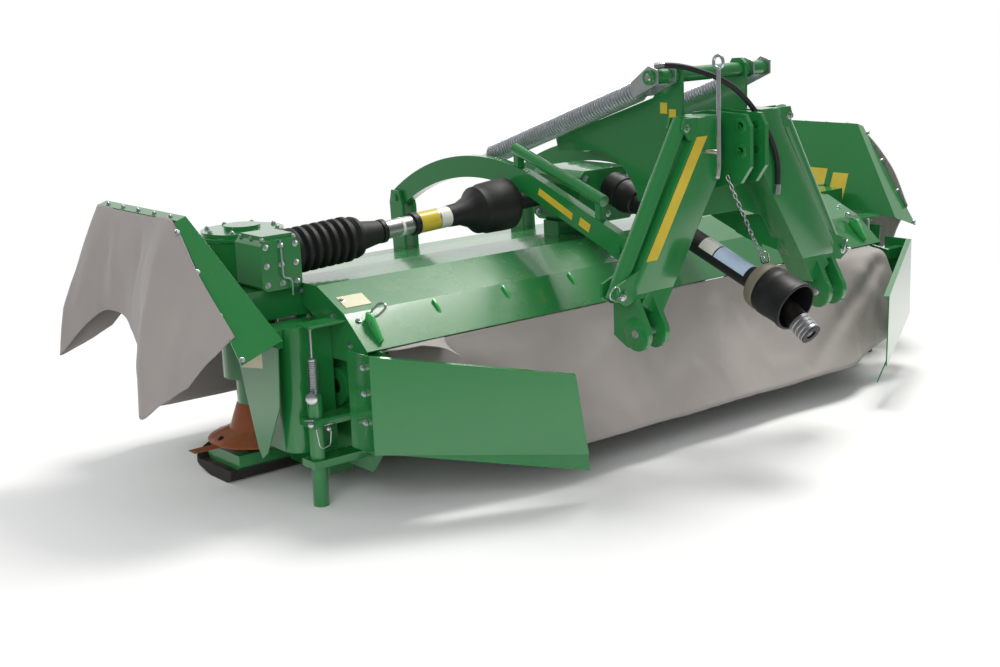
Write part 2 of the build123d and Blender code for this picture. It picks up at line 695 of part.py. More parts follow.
# ================================================================== headstock
def build_legs():
    """Box-section legs of the hitch frame, each ending in a bored clevis."""
    leg = bar(
        (LEG_FOOT[0], LEG_Y, LEG_FOOT[1]), (LEG_HEAD[0], LEG_Y, LEG_HEAD[1]), LEG_D, LEG_W, (0, 1, 0)
    )
    leg_front = LEG_Y + LEG_D / 2
    cheek_top = LEG_FOOT[1] + 50
    cheek = [
        (-PIN_EYE_R, PIN_Z + 24),
        (-PIN_EYE_R, PIN_Z - 22),
        (-PIN_EYE_R + 24, PIN_Z - PIN_EYE_R),
        (PIN_EYE_R - 10, PIN_Z - PIN_EYE_R),
        (leg_front, PIN_Z - 18),
        (leg_front, cheek_top),
        (0, cheek_top),
    ]
    for side in (-1, 1):
        x = PIN_X + side * (EYE_GAP + EYE_T) / 2
        leg += slab(cheek, x - EYE_T / 2, x + EYE_T / 2)
    inside, outside = PIN_X - EYE_GAP / 2, PIN_X + EYE_GAP / 2
    leg += block(inside, outside, PIN_EYE_R + 12, leg_front, PIN_Z - 18, cheek_top)
    leg -= cross_rod(inside - EYE_T - 1, outside + EYE_T + 1, 0, PIN_Z, PIN_BORE_R)
    y, z = ARM_REAR
    for x in (ARM_X - ARM_T / 2 - EAR_GAP - EAR_T, ARM_X + ARM_T / 2 + EAR_GAP):
        lug = [
            (leg_front - 30, z - 68), (leg_front - 30, z + 72), (y - 10, z + 40), (y + 34, z + 16),
            (y + 34, z - 24), (y - 20, z - 42),
        ]
        leg += slab(lug, x, x + EAR_T)
    reach = ARM_T / 2 + EAR_GAP + EAR_T + 8
    leg += cross_rod(ARM_X - reach, ARM_X + reach, y, z, ARM_PIN_R)
    foot_cheeks = strut_lugs()[:3]
    pair("leg", leg, *foot_cheeks)


def build_mast():
    """Cross plates between the legs, the top-link bracket and the spring tube."""
    face_y = LEG_Y + LEG_D / 2
    plate_y = face_y + MAST_PLATE
    mast = wall(
        [(-LEG_HEAD[0] - 46, 900), (-110, 1135), (110, 1135), (LEG_HEAD[0] + 46, 900),
         (250, 745), (120, 790), (-120, 790), (-250, 745)],
        face_y,
        plate_y,
    )
    lug = [(face_y, 880), (-40, 905), (-82, 960), (-82, 1090), (-60, 1128), (face_y, 1135)]
    lug_x = TOP_LUG_GAP / 2
    mast += both(slab(lug, lug_x, lug_x + TOP_LUG_T))
    for z in TOP_HOLES:
        mast -= cross_rod(-lug_x - TOP_LUG_T - 1, lug_x + TOP_LUG_T + 1, TOP_HOLE_Y, z, TOP_HOLE_R)
    mast += both(block(LEG_HEAD[0] - 50, LEG_HEAD[0] + 10, LEG_Y - LEG_D / 2, face_y, 965, 1130))
    for piece in strut_lugs()[3:]:
        mast += both(piece)
    tube_end = SPRING_X + SPRING_R + 15
    mast += cross_rod(-tube_end, tube_end, MAST_Y, TUBE_Z, MAST_TUBE_R)
    node("mast", mast)

    with BuildSketch(Plane.YZ.offset(CHEEK_X - CHEEK_T / 2)) as cheek:
        with BuildLine():
            Polyline(
                (plate_y, 850), (plate_y, TUBE_Z + 22), (130, TUBE_Z + 38), (168, TUBE_Z + 36),
                (240, 1180), (506, 1095), (739, 1042), (722, 977), (520, 990),
            )
            ThreePointArc((520, 990), (390, 940), (316, 832))
            Line((316, 832), (plate_y, 850))
        make_face()
    plate = extrude(cheek.sketch, amount=CHEEK_T, dir=(1, 0, 0))
    plate -= cross_rod(CHEEK_X - CHEEK_T, CHEEK_X + CHEEK_T, MAST_Y, TUBE_Z, MAST_TUBE_R + SEAT)
    node("mast_cheeks", both(plate))


def build_spring_brackets():
    """U-shaped brackets on the cross tube that hold the spring screws."""
    top = (SPRING_X, *SPRING_TOP)
    end = (SPRING_X, *SPRING_END)
    length = math.dist(top, end)
    rise = (SPRING_TOP[1] - SPRING_END[1]) / length
    fall = (SPRING_END[0] - SPRING_TOP[0]) / length

    def beside(along_axis, across):
        """Side-view point at a distance back along the spring's axis and up across it."""
        y = SPRING_TOP[0] - fall * along_axis + rise * across
        return (y, SPRING_TOP[1] + rise * along_axis + fall * across)

    half = SPRING_R + SPRING_ROOM
    gap, thick = SEAT, BRACKET_T
    outline = [
        beside(gap, -24), beside(gap, 24), (MAST_Y + 6, TUBE_Z + MAST_TUBE_R + 12),
        (MAST_Y - 34, TUBE_Z + MAST_TUBE_R), (MAST_Y - 34, TUBE_Z - 20),
    ]
    bracket = slab(
        [beside(gap, -24), beside(gap, 24), beside(gap + thick, 24), beside(gap + thick, -24)],
        SPRING_X - half,
        SPRING_X + half,
    )
    for x in (SPRING_X - half, SPRING_X + half - thick):
        bracket += slab(outline, x, x + thick)
    bracket -= cross_rod(SPRING_X - 2 * half, SPRING_X + 2 * half, MAST_Y, TUBE_Z, MAST_TUBE_R + SEAT)
    screw_start = along(top, end, -SEAT / length)
    screw_end = along(top, end, -SCREW_SHARE)
    bracket -= rod(screw_start, screw_end, SCREW_R + RUN)
    node("spring_brackets", both(bracket))
    screw = rod(screw_start, screw_end, SCREW_R)
    node("spring_screws", both(screw))


def build_float_linkage():
    """Curved arms, relief springs and the transport locks."""
    with BuildSketch(Plane.YZ.offset(ARM_X - ARM_T / 2)) as profile:
        with BuildLine() as centre:
            ThreePointArc(ARM_FRONT, ARM_APEX, ARM_BEND)
            Line(ARM_BEND, ARM_REAR)
        trace(centre.line, ARM_D)
    arm = extrude(profile.sketch, amount=ARM_T, dir=(1, 0, 0))
    for y, z in (ARM_FRONT, ARM_REAR):
        arm += cross_rod(ARM_X - ARM_T / 2, ARM_X + ARM_T / 2, y, z, ARM_D / 2)
    for y, z in (ARM_FRONT, ARM_REAR):
        arm -= cross_rod(ARM_X - ARM_T, ARM_X + ARM_T, y, z, ARM_PIN_R)
    top = (SPRING_X, *SPRING_TOP)
    end = (SPRING_X, *SPRING_END)
    length = math.dist(top, end)
    stud_at = along(top, end, 1 + (SPRING_HOOK + SPRING_STUD_R + SEAT) / length)
    stud = cross_rod(SPRING_X - 30, ARM_X - ARM_T / 2, stud_at[1], stud_at[2], SPRING_STUD_R)
    node("float_arms", both(arm + stud))

    coil = rod(top, end, SPRING_R)
    hook = rod(end, along(top, end, 1 + SPRING_HOOK / length), 16)
    node("relief_springs", both(coil + hook))

    (front_y, front_z), (rear_y, rear_z) = LOCK_FRONT, LOCK_REAR
    lock = rod((ARM_X, front_y, front_z), (ARM_X, rear_y, rear_z), LOCK_R)
    lock += bar((ARM_X, front_y - 20, front_z - 96), (ARM_X, front_y - 20, front_z - 11), 30, 24, (1, 0, 0))
    lock += bar((ARM_X, rear_y + 20, rear_z - 86), (ARM_X, rear_y + 20, rear_z - 1), 30, 24, (1, 0, 0))
    node("transport_locks", both(lock - arm))


def build_struts():
    """Round side struts, each bolted between the cheeks of a lug at foot and head."""
    head = (STRUT_HEAD[0], STRUT_Y, STRUT_HEAD[1])
    foot = (STRUT_FOOT[0], STRUT_Y, STRUT_FOOT[1])
    strut = rod(head, foot, STRUT_R)
    for x, y, z in (along(head, foot, 0.04), along(head, foot, 0.95)):
        strut -= rod((x, y - 60, z), (x, y + 60, z), STRUT_BOLT_R + RUN)
    node("side_struts", both(strut))


def strut_lugs():
    """Cheek plates and bolts that hold a side strut, on the right."""
    head = (STRUT_HEAD[0], STRUT_Y, STRUT_HEAD[1])
    foot = (STRUT_FOOT[0], STRUT_Y, STRUT_FOOT[1])
    foot_outline = [(372, 600), (520, 572), (560, 596), (556, 640), (400, 700), (340, 690)]
    head_outline = [(150, 1040), (232, 1060), (262, 1096), (250, 1130), (150, 1128)]
    pieces = []
    for outline, share in ((foot_outline, 0.95), (head_outline, 0.04)):
        for side in (-1, 1):
            y = STRUT_Y + side * (STRUT_R + SEAT + LUG_T / 2)
            pieces.append(wall(outline, y - LUG_T / 2, y + LUG_T / 2))
        x, y, z = along(head, foot, share)
        reach = STRUT_R + LUG_T + 10
        pieces.append(rod((x, y - reach, z), (x, y + reach, z), STRUT_BOLT_R))
    return pieces


def build_lever():
    """Long pull lever that hangs on the mast, with a ring at its top and a bent foot."""
    x, y, low, high = LEVER_AT
    lever = rod((x, y, low), (x, y, high - LEVER_RING), LEVER_R)
    lever += Pos(x, y, high) * Rot(0, 90, 0) * Torus(LEVER_RING, LEVER_R - 2)
    lever += Pos(x, y, low) * Sphere(LEVER_R)
    lever += rod((x, y, low), (x + 34, y - 22, low - 40), LEVER_R)
    lever += rod((x, y, low + 40), (x, LEG_Y - LEG_D / 2, low + 40), LEVER_R)
    node("lever", lever)


def build_hose():
    """Hydraulic hose that lies over the spring tube and hangs down behind the mast."""
    with BuildLine() as route:
        Spline(*HOSE_ROUTE)
    start = Plane(origin=route.line @ 0, z_dir=route.line % 0)
    with BuildSketch(start) as section:
        Circle(HOSE_R)
    node("hose", sweep(section.sketch, path=route.line))


# ================================================================== side guards
def build_guards():
    """Folding side guards in their raised position, with the canvas skirts."""
    lean = math.degrees(math.atan2(GUARD_TOP_X - GUARD_HINGE_X, GUARD_TOP_Z - GUARD_HINGE_Z))
    height = math.hypot(GUARD_TOP_X - GUARD_HINGE_X, GUARD_TOP_Z - GUARD_HINGE_Z)
    to_world = Location((GUARD_HINGE_X, 0, GUARD_HINGE_Z), (0, lean, 0))
    foot = KNUCKLE_R - 2

    def back_at(v):
        """Y of the slanted rear edge at height v above the hinge."""
        return GUARD_BACK_LOW + (GUARD_BACK_TOP - GUARD_BACK_LOW) * v / height

    def world(out, y, v):
        """Point in the machine's axes: out from the panel, along Y, up the panel."""
        a = math.radians(lean)
        return (
            GUARD_HINGE_X + out * math.cos(a) + v * math.sin(a),
            y,
            GUARD_HINGE_Z - out * math.sin(a) + v * math.cos(a),
        )

    guard = slab(
        [(back_at(foot), foot), (GUARD_FRONT, foot), (GUARD_FRONT, height), (back_at(height), height)],
        -SHEET / 2,
        SHEET / 2,
    )
    guard += block(-SHEET / 2, GUARD_RIM, back_at(height), GUARD_FRONT, height - SHEET, height)
    guard += block(-SHEET / 2, GUARD_RIM, GUARD_FRONT - SHEET, GUARD_FRONT, foot + 20, height)
    edge = Vector(0, back_at(height) - back_at(0), height)
    wing_plane = Plane(origin=(0, back_at(0), 0), x_dir=edge, z_dir=Vector(0, height, -edge.Y))
    wing = [
        (foot + 6, -SHEET / 2),
        (edge.length, -SHEET / 2),
        (edge.length, GUARD_WING_TOP),
        (foot + 6, GUARD_WING_LOW),
    ]
    guard += extrude(wing_plane * Polygon(*wing, align=None), amount=SHEET)
    for y in KNUCKLE_AT:
        half = KNUCKLE_LEN / 2 + SEAT
        guard -= block(-SHEET, SHEET, y - half, y + half, 0, KNUCKLE_R + MOVE)
        for side in (-1, 1):
            y0 = y + side * half
            y1 = y + side * (KNUCKLE_LEN * 1.5 - SEAT)
            guard += rod((0, y0, 0), (0, y1, 0), KNUCKLE_R)
            guard -= rod((0, y0 - side, 0), (0, y1 + side, 0), HINGE_PIN_R + RUN)
    pair("guard", to_world * guard)

    rim = world(GUARD_RIM, GUARD_FRONT, height - SHEET)
    hang_x, hang_z = rim[0] + SKIRT_PLAY, rim[2]
    skirt = slab(
        [
            (GUARD_BACK_TOP + 12, hang_z),
            (GUARD_FRONT, hang_z),
            (GUARD_FRONT, hang_z - 345),
            (1238, hang_z - 352),
            (970, hang_z - 385),
            (900, hang_z - 300),
        ],
        hang_x,
        hang_x + SKIRT_T,
    )
    front_y = GUARD_FRONT + SKIRT_PLAY
    front_top = (hang_x + SKIRT_T, front_y, hang_z)
    front_foot = world(GUARD_RIM, front_y, foot + 30)
    skirt += facet(front_top, front_foot, SKIRT_FRONT_TIP, SKIRT_T)
    back_top = (hang_x + SKIRT_T - 1, GUARD_BACK_TOP + 12, hang_z)
    wing_foot = world(GUARD_WING_LOW + SKIRT_PLAY * 4, back_at(foot + 40), foot + 20)
    skirt += facet(wing_foot, back_top, SKIRT_BACK_TIP, SKIRT_T)
    skirt += facet(back_top, (hang_x + SKIRT_T - 1, 970, hang_z - 384), SKIRT_BACK_TIP, SKIRT_T)
    pair("skirt", skirt)


# ================================================================== jacks
def build_jacks():
    """Parking jacks: a pinned leg that slides up, and the spring that pulls it home."""
    leg = rod((JACK_X, JACK_Y, 0), (JACK_X, JACK_Y, JACK_TOP), JACK_R)
    pair("jack_leg", leg)
    spring = rod((JACK_X, JACK_Y, JACK_TOP + SEAT), (JACK_X, JACK_Y, JACK_COIL_TOP), 17)
    hook_z = JACK_HOOK_Z - SIDE_WALL - SEAT
    spring += rod((JACK_X, JACK_Y, JACK_COIL_TOP), (JACK_X, JACK_Y, hook_z), 5)
    pair("jack_spring", spring)


# ================================================================== build and export
build_cutterbar()
build_skids()
build_discs()
build_frame()
build_covers()
build_hood()
build_end_frames()
build_swath_plates()
build_rear_curtain()
build_conditioner()
build_drives()
build_legs()
build_mast()
build_spring_brackets()
build_float_linkage()
build_struts()
build_lever()
build_hose()
build_guards()
build_jacks()

for name, shape in NODES.items():
    export_step(Pos(0, HITCH_Y, 0) * shape, f"parts/{name}.step")
print(len(NODES), "nodes")
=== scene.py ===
"""Looks of a front-mounted disc mower conditioner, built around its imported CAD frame.

Sizes are millimetres and, as in the part's own source, every Y is counted forward of the
lower hitch pins; the function at() turns such a place into the frame's metres.
"""
import json
import logging
import math
from dataclasses import dataclass
from enum import Enum
from typing import Iterable, Sequence

import bpy
from mathutils import Matrix, Vector
from mathutils.noise import noise as noise_at


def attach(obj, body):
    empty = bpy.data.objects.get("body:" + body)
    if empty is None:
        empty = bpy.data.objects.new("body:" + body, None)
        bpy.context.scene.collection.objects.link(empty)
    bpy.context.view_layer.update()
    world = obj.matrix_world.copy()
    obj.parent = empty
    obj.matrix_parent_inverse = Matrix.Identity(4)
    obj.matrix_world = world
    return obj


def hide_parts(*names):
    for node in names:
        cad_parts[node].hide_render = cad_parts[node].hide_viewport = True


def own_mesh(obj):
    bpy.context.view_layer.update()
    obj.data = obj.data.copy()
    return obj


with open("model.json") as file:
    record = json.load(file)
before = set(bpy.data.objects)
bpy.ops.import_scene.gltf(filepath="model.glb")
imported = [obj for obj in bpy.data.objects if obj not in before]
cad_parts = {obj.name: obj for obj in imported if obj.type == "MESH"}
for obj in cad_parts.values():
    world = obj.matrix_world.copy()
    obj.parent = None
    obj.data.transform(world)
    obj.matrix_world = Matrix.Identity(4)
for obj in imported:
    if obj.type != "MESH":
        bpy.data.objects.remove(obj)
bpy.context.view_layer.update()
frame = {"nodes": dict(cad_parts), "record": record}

MM = 0.001
HITCH_Y = -609.5        # lower hitch pins, from the frame's origin
CHASSIS = "chassis"     # body of everything that doesn't move
FILM_T = 0.8            # thickness of a blank film
SMOOTH = 50.0           # shading angle of round bars and fittings, in degrees
SEAMLESS = 180.0        # shading angle of cloth
COIL_STEPS = 14         # divisions of a spring's turn

log = logging.getLogger("mower")

Point = tuple[float, float, float]
Colour = tuple[float, float, float]
Pair = tuple[float, float]
Spot = tuple[Point, Point]      # a place and a heading
Piece = bpy.types.Object
SIDES = (("right", 1), ("left", -1))


class Slot(Enum):
    """Material slots of the part's record."""

    PAINT = "green_paint"
    CANVAS = "canvas"
    ROTOR = "rotor_paint"
    DARK = "dark_steel"
    ZINC = "zinc"
    PLASTIC = "black_plastic"
    FORGED = "forged_steel"
    HOSE = "hose_rubber"


def at(x: float, y: float, z: float) -> Vector:
    """Place in millimetres, Y from the hitch pins, as a point of the frame."""
    return Vector((x * MM, (y + HITCH_Y) * MM, z * MM))


def linked(name: str, data: bpy.types.ID) -> Piece:
    """New object of the scene that shows the given data.

    Args:
        name: name of the object.
        data: its mesh, curve, light or camera.

    Returns:
        The object.
    """
    new = bpy.data.objects.new(name, data)
    bpy.context.scene.collection.objects.link(new)
    return new


# ================================================================== shader node groups
Socket = bpy.types.NodeSocket
Input = float | Sequence[float] | Socket


class NodeWriter:
    """Adds and links nodes in one node tree."""

    def __init__(self, tree: bpy.types.NodeTree) -> None:
        """Take the tree to write in."""
        self.tree = tree

    def feed(self, socket: Socket, value: Input) -> None:
        """Link a socket to another, or set its plain value.

        Args:
            socket: input to feed.
            value: output socket, number or tuple.
        """
        if isinstance(value, bpy.types.NodeSocket):
            self.tree.links.new(value, socket)
        elif socket.type == "RGBA" and len(value) == 3:
            socket.default_value = (*value, 1.0)
        else:
            socket.default_value = value

    def add(
        self, kind: str, inputs: dict[str | int, Input] | None = None, **settings: object
    ) -> bpy.types.Node:
        """Add one node.

        Args:
            kind: type name without the ShaderNode prefix.
            inputs: values or sockets for its inputs.
            settings: attributes of the node.

        Returns:
            The new node.
        """
        new = self.tree.nodes.new("ShaderNode" + kind)
        for name, value in settings.items():
            setattr(new, name, value)
        for name, value in (inputs or {}).items():
            self.feed(new.inputs[name], value)
        return new

    def math(self, operation: str, a: Input, b: Input = 0.0, clamp: bool = False) -> Socket:
        """Result of a Math node on two values."""
        return self.add("Math", {0: a, 1: b}, operation=operation, use_clamp=clamp).outputs[0]

    def noise(self, vector: Input, scale: Input, detail: float = 3.0, roughness: float = 0.5) -> Socket:
        """Grey value of a noise texture."""
        inputs = {"Vector": vector, "Scale": scale, "Detail": detail, "Roughness": roughness}
        return self.add("TexNoise", inputs).outputs["Fac"]

    def ramp(self, value: Input, low: float, high: float) -> Socket:
        """Value stretched so that low gives 0 and high gives 1, clamped."""
        inputs = {"Value": value, "From Min": low, "From Max": high}
        return self.add("MapRange", inputs, clamp=True).outputs["Result"]

    def mix(self, share: Input, a: Input, b: Input, blend: str = "MIX") -> Socket:
        """Two colours blended by a share.

        Args:
            share: amount of the second colour.
            a: first colour.
            b: second colour.
            blend: way of blending.

        Returns:
            The blended colour.
        """
        new = self.add("Mix", data_type="RGBA", blend_type=blend)
        for index, value in ((0, share), (6, a), (7, b)):
            self.feed(new.inputs[index], value)
        return new.outputs[2]


class Effect(Enum):
    """The shared node groups, by name."""

    DUST = "Dust"
    DRIFT = "Tone drift"
    SCUFFS = "Scuffs"
    RELIEF = "Relief"
    WEAVE = "Weave"


class EffectGroup:
    """A shader node group that several materials share."""

    def __init__(self, which: Effect, inputs: dict[str, tuple[str, object]], outputs: dict[str, str]) -> None:
        """Make the group and its sockets.

        Args:
            which: the effect that it makes.
            inputs: socket type and default for each input.
            outputs: socket type for each output.
        """
        self.tree = bpy.data.node_groups.new(which.value, "ShaderNodeTree")
        for key, (kind, value) in inputs.items():
            socket = self.tree.interface.new_socket(key, in_out="INPUT", socket_type="NodeSocket" + kind)
            if value is not None:
                socket.default_value = value
        for key, kind in outputs.items():
            self.tree.interface.new_socket(key, in_out="OUTPUT", socket_type="NodeSocket" + kind)
        self.write = NodeWriter(self.tree)
        self.source = self.tree.nodes.new("NodeGroupInput").outputs
        self.result = self.tree.nodes.new("NodeGroupOutput").inputs

    def put(self, key: str, value: Socket) -> None:
        """Send a value out of the group."""
        self.write.feed(self.result[key], value)


def coat_of_dust() -> None:
    """Group that lays dust on faces that look up."""
    group = EffectGroup(
        Effect.DUST,
        {"Vector": ("Vector", None), "Amount": ("Float", 0.3), "Scale": ("Float", 9.0)},
        {"Mask": "Float"},
    )
    w, source = group.write, group.source
    normal = w.add("NewGeometry").outputs["Normal"]
    up = w.add("SeparateXYZ", {"Vector": normal}).outputs["Z"]
    patches = w.ramp(w.noise(source["Vector"], source["Scale"], 5.0, 0.62), 0.42, 0.75)
    mask = w.math("MULTIPLY", w.ramp(up, 0.2, 1.0), patches)
    group.put("Mask", w.math("MULTIPLY", mask, source["Amount"], clamp=True))


def drift_of_tone() -> None:
    """Group that varies a colour slightly over a surface."""
    group = EffectGroup(
        Effect.DRIFT,
        {
            "Vector": ("Vector", None),
            "Colour": ("Color", (0.5, 0.5, 0.5, 1.0)),
            "Scale": ("Float", 3.0),
            "Amount": ("Float", 0.1),
        },
        {"Colour": "Color"},
    )
    w, source = group.write, group.source
    broad = w.noise(source["Vector"], source["Scale"], 4.0, 0.55)
    swing = w.math("MULTIPLY", w.math("SUBTRACT", broad, 0.5), source["Amount"])
    value = w.math("ADD", 1.0, swing)
    shifted = w.add("HueSaturation", {"Value": value, "Color": source["Colour"]})
    group.put("Colour", shifted.outputs["Color"])


def scuff_marks() -> None:
    """Group of fine scratches and small chips."""
    group = EffectGroup(
        Effect.SCUFFS,
        {"Vector": ("Vector", None), "Scale": ("Float", 26.0), "Amount": ("Float", 0.3)},
        {"Mask": "Float"},
    )
    w, source = group.write, group.source
    drawn = w.add("Mapping", {"Vector": source["Vector"], "Scale": (1.0, 5.0, 0.35)})
    lines = w.ramp(w.noise(drawn.outputs["Vector"], source["Scale"], 6.0, 0.7), 0.66, 0.8)
    chips = w.ramp(w.noise(source["Vector"], w.math("MULTIPLY", source["Scale"], 2.3), 3.0, 0.8), 0.72, 0.76)
    both = w.math("MAXIMUM", lines, chips)
    group.put("Mask", w.math("MULTIPLY", both, source["Amount"], clamp=True))


def fine_relief() -> None:
    """Group that turns noise into a surface normal, from orange peel to sand casting."""
    group = EffectGroup(
        Effect.RELIEF,
        {
            "Vector": ("Vector", None),
            "Scale": ("Float", 200.0),
            "Depth": ("Float", 0.0005),
            "Waves": ("Float", 4.0),
            "Wave depth": ("Float", 0.0),
        },
        {"Normal": "Vector"},
    )
    w, source = group.write, group.source
    fine = w.math("MULTIPLY", w.noise(source["Vector"], source["Scale"], 2.0, 0.5), source["Depth"])
    broad = w.math("MULTIPLY", w.noise(source["Vector"], source["Waves"], 2.0, 0.4), source["Wave depth"])
    height = w.math("ADD", fine, broad)
    bump = w.add("Bump", {"Height": height, "Distance": 1.0, "Strength": 1.0})
    group.put("Normal", bump.outputs["Normal"])


def plain_weave() -> None:
    """Group of over-and-under threads along a piece's own UV map, in metres."""
    group = EffectGroup(
        Effect.WEAVE,
        {"UV": ("Vector", None), "Threads": ("Float", 700.0), "Depth": ("Float", 0.0002)},
        {"Shade": "Float", "Height": "Float"},
    )
    w, source = group.write, group.source
    scaled = w.add("VectorMath", {0: source["UV"]}, operation="SCALE")
    w.feed(scaled.inputs["Scale"], source["Threads"])
    parts = w.add("SeparateXYZ", {"Vector": scaled.outputs["Vector"]})
    warp = w.math("SINE", w.math("MULTIPLY", parts.outputs["X"], math.tau))
    weft = w.math("SINE", w.math("MULTIPLY", parts.outputs["Y"], math.tau))
    threads = w.math("MULTIPLY", warp, weft)
    group.put("Shade", w.math("MULTIPLY_ADD", threads, 0.5))
    group.put("Height", w.math("MULTIPLY", threads, source["Depth"]))


for write_group in (coat_of_dust, drift_of_tone, scuff_marks, fine_relief, plain_weave):
    write_group()


class MaterialWriter(NodeWriter):
    """Writes one material around a Principled shader."""

    def __init__(self, name: str) -> None:
        """Make the material, its shader and its coordinates.

        Args:
            name: name of the material.
        """
        self.material = bpy.data.materials.new(name)
        self.material.use_nodes = True
        super().__init__(self.material.node_tree)
        self.shader = self.tree.nodes["Principled BSDF"]
        coordinates = self.add("TexCoord")
        self.place = coordinates.outputs["Object"]
        self.uv = coordinates.outputs["UV"]

    def effect(self, which: Effect, **inputs: Input) -> bpy.types.Node:
        """Place a shared group with its own values.

        Args:
            which: effect to place.
            inputs: values by socket name, with _ for a space.

        Returns:
            The group's node.
        """
        new = self.tree.nodes.new("ShaderNodeGroup")
        new.node_tree = bpy.data.node_groups[which.value]
        for key, value in inputs.items():
            self.feed(new.inputs[key.replace("_", " ")], value)
        if "Vector" in new.inputs and "Vector" not in inputs:
            self.feed(new.inputs["Vector"], self.place)
        return new

    def surface(self, **values: Input) -> bpy.types.Material:
        """Set the shader's sockets, with _ for a space, and hand over the material.

        Args:
            values: values or sockets by socket name.

        Returns:
            The material.
        """
        for key, value in values.items():
            self.feed(self.shader.inputs[key.replace("_", " ")], value)
        return self.material


# ================================================================== finishes
@dataclass(frozen=True)
class Finish:
    """A surface finish: the name, colour and record slot that every kind has."""

    name: str
    colour: Colour
    slot: Slot

    def build(self) -> bpy.types.Material:
        """Write the material."""
        raise NotImplementedError

    def material(self) -> bpy.types.Material:
        """The material of this finish, written once."""
        return bpy.data.materials.get(self.name) or self.build()


@dataclass(frozen=True)
class Paint(Finish):
    """Glossy machine enamel with a film of dust and light scuffs."""

    roughness: float = 0.26
    gloss: float = 0.9
    dust: float = 0.12
    wear: float = 0.2
    dust_colour: Colour = (0.30, 0.34, 0.24)
    worn_colour: Colour = (0.10, 0.16, 0.09)

    def build(self) -> bpy.types.Material:
        """Write the material.

        Returns:
            The material.
        """
        m = MaterialWriter(self.name)
        tone = m.effect(Effect.DRIFT, Colour=self.colour, Scale=2.2, Amount=0.28).outputs["Colour"]
        scuffs = m.effect(Effect.SCUFFS, Scale=30.0, Amount=self.wear).outputs["Mask"]
        dust = m.effect(Effect.DUST, Scale=8.0, Amount=self.dust).outputs["Mask"]
        worn = m.mix(scuffs, tone, self.worn_colour)
        dusty = m.mix(m.math("MULTIPLY", dust, 0.55), worn, self.dust_colour)
        rough = m.math("ADD", self.roughness, m.math("MULTIPLY", dust, 0.35), clamp=True)
        normal = m.effect(Effect.RELIEF, Scale=420.0, Depth=0.00002, Waves=5.0, Wave_depth=0.0012)
        return m.surface(
            Base_Color=dusty,
            Roughness=rough,
            Coat_Weight=self.gloss,
            Coat_Roughness=0.08,
            Normal=normal.outputs["Normal"],
        )


@dataclass(frozen=True)
class Plated(Finish):
    """Zinc-plated or bare steel with soft mottling."""

    roughness: float = 0.34
    mottle: float = 0.5

    def build(self) -> bpy.types.Material:
        """Write the material.

        Returns:
            The material.
        """
        m = MaterialWriter(self.name)
        tone = m.effect(Effect.DRIFT, Colour=self.colour, Scale=34.0, Amount=self.mottle).outputs["Colour"]
        scuffs = m.effect(Effect.SCUFFS, Scale=60.0, Amount=0.4).outputs["Mask"]
        rough = m.math("ADD", self.roughness, m.math("MULTIPLY", scuffs, 0.3), clamp=True)
        normal = m.effect(Effect.RELIEF, Scale=260.0, Depth=0.00003)
        return m.surface(
            Base_Color=m.mix(scuffs, tone, (0.28, 0.29, 0.3)),
            Metallic=1.0,
            Roughness=rough,
            Normal=normal.outputs["Normal"],
        )


@dataclass(frozen=True)
class Cast(Finish):
    """Dark forged or cast metal with a sandy skin."""

    roughness: float = 0.55
    metal: float = 0.7

    def build(self) -> bpy.types.Material:
        """Write the material.

        Returns:
            The material.
        """
        m = MaterialWriter(self.name)
        tone = m.effect(Effect.DRIFT, Colour=self.colour, Scale=14.0, Amount=0.7).outputs["Colour"]
        dust = m.effect(Effect.DUST, Scale=22.0, Amount=0.6).outputs["Mask"]
        normal = m.effect(Effect.RELIEF, Scale=160.0, Depth=0.0003)
        return m.surface(
            Base_Color=m.mix(dust, tone, (0.2, 0.16, 0.12)),
            Metallic=self.metal,
            Roughness=self.roughness,
            Normal=normal.outputs["Normal"],
        )


@dataclass(frozen=True)
class Plastic(Finish):
    """Moulded plastic or rubber with a faint grain."""

    roughness: float = 0.42
    grain: float = 0.00012
    dust: float = 0.2

    def build(self) -> bpy.types.Material:
        """Write the material.

        Returns:
            The material.
        """
        m = MaterialWriter(self.name)
        tone = m.effect(Effect.DRIFT, Colour=self.colour, Scale=12.0, Amount=0.4).outputs["Colour"]
        dust = m.effect(Effect.DUST, Scale=16.0, Amount=self.dust).outputs["Mask"]
        rough = m.math("ADD", self.roughness, m.math("MULTIPLY", dust, 0.3), clamp=True)
        normal = m.effect(Effect.RELIEF, Scale=500.0, Depth=self.grain)
        return m.surface(
            Base_Color=m.mix(dust, tone, (0.3, 0.29, 0.27)),
            Roughness=rough,
            Normal=normal.outputs["Normal"],
        )


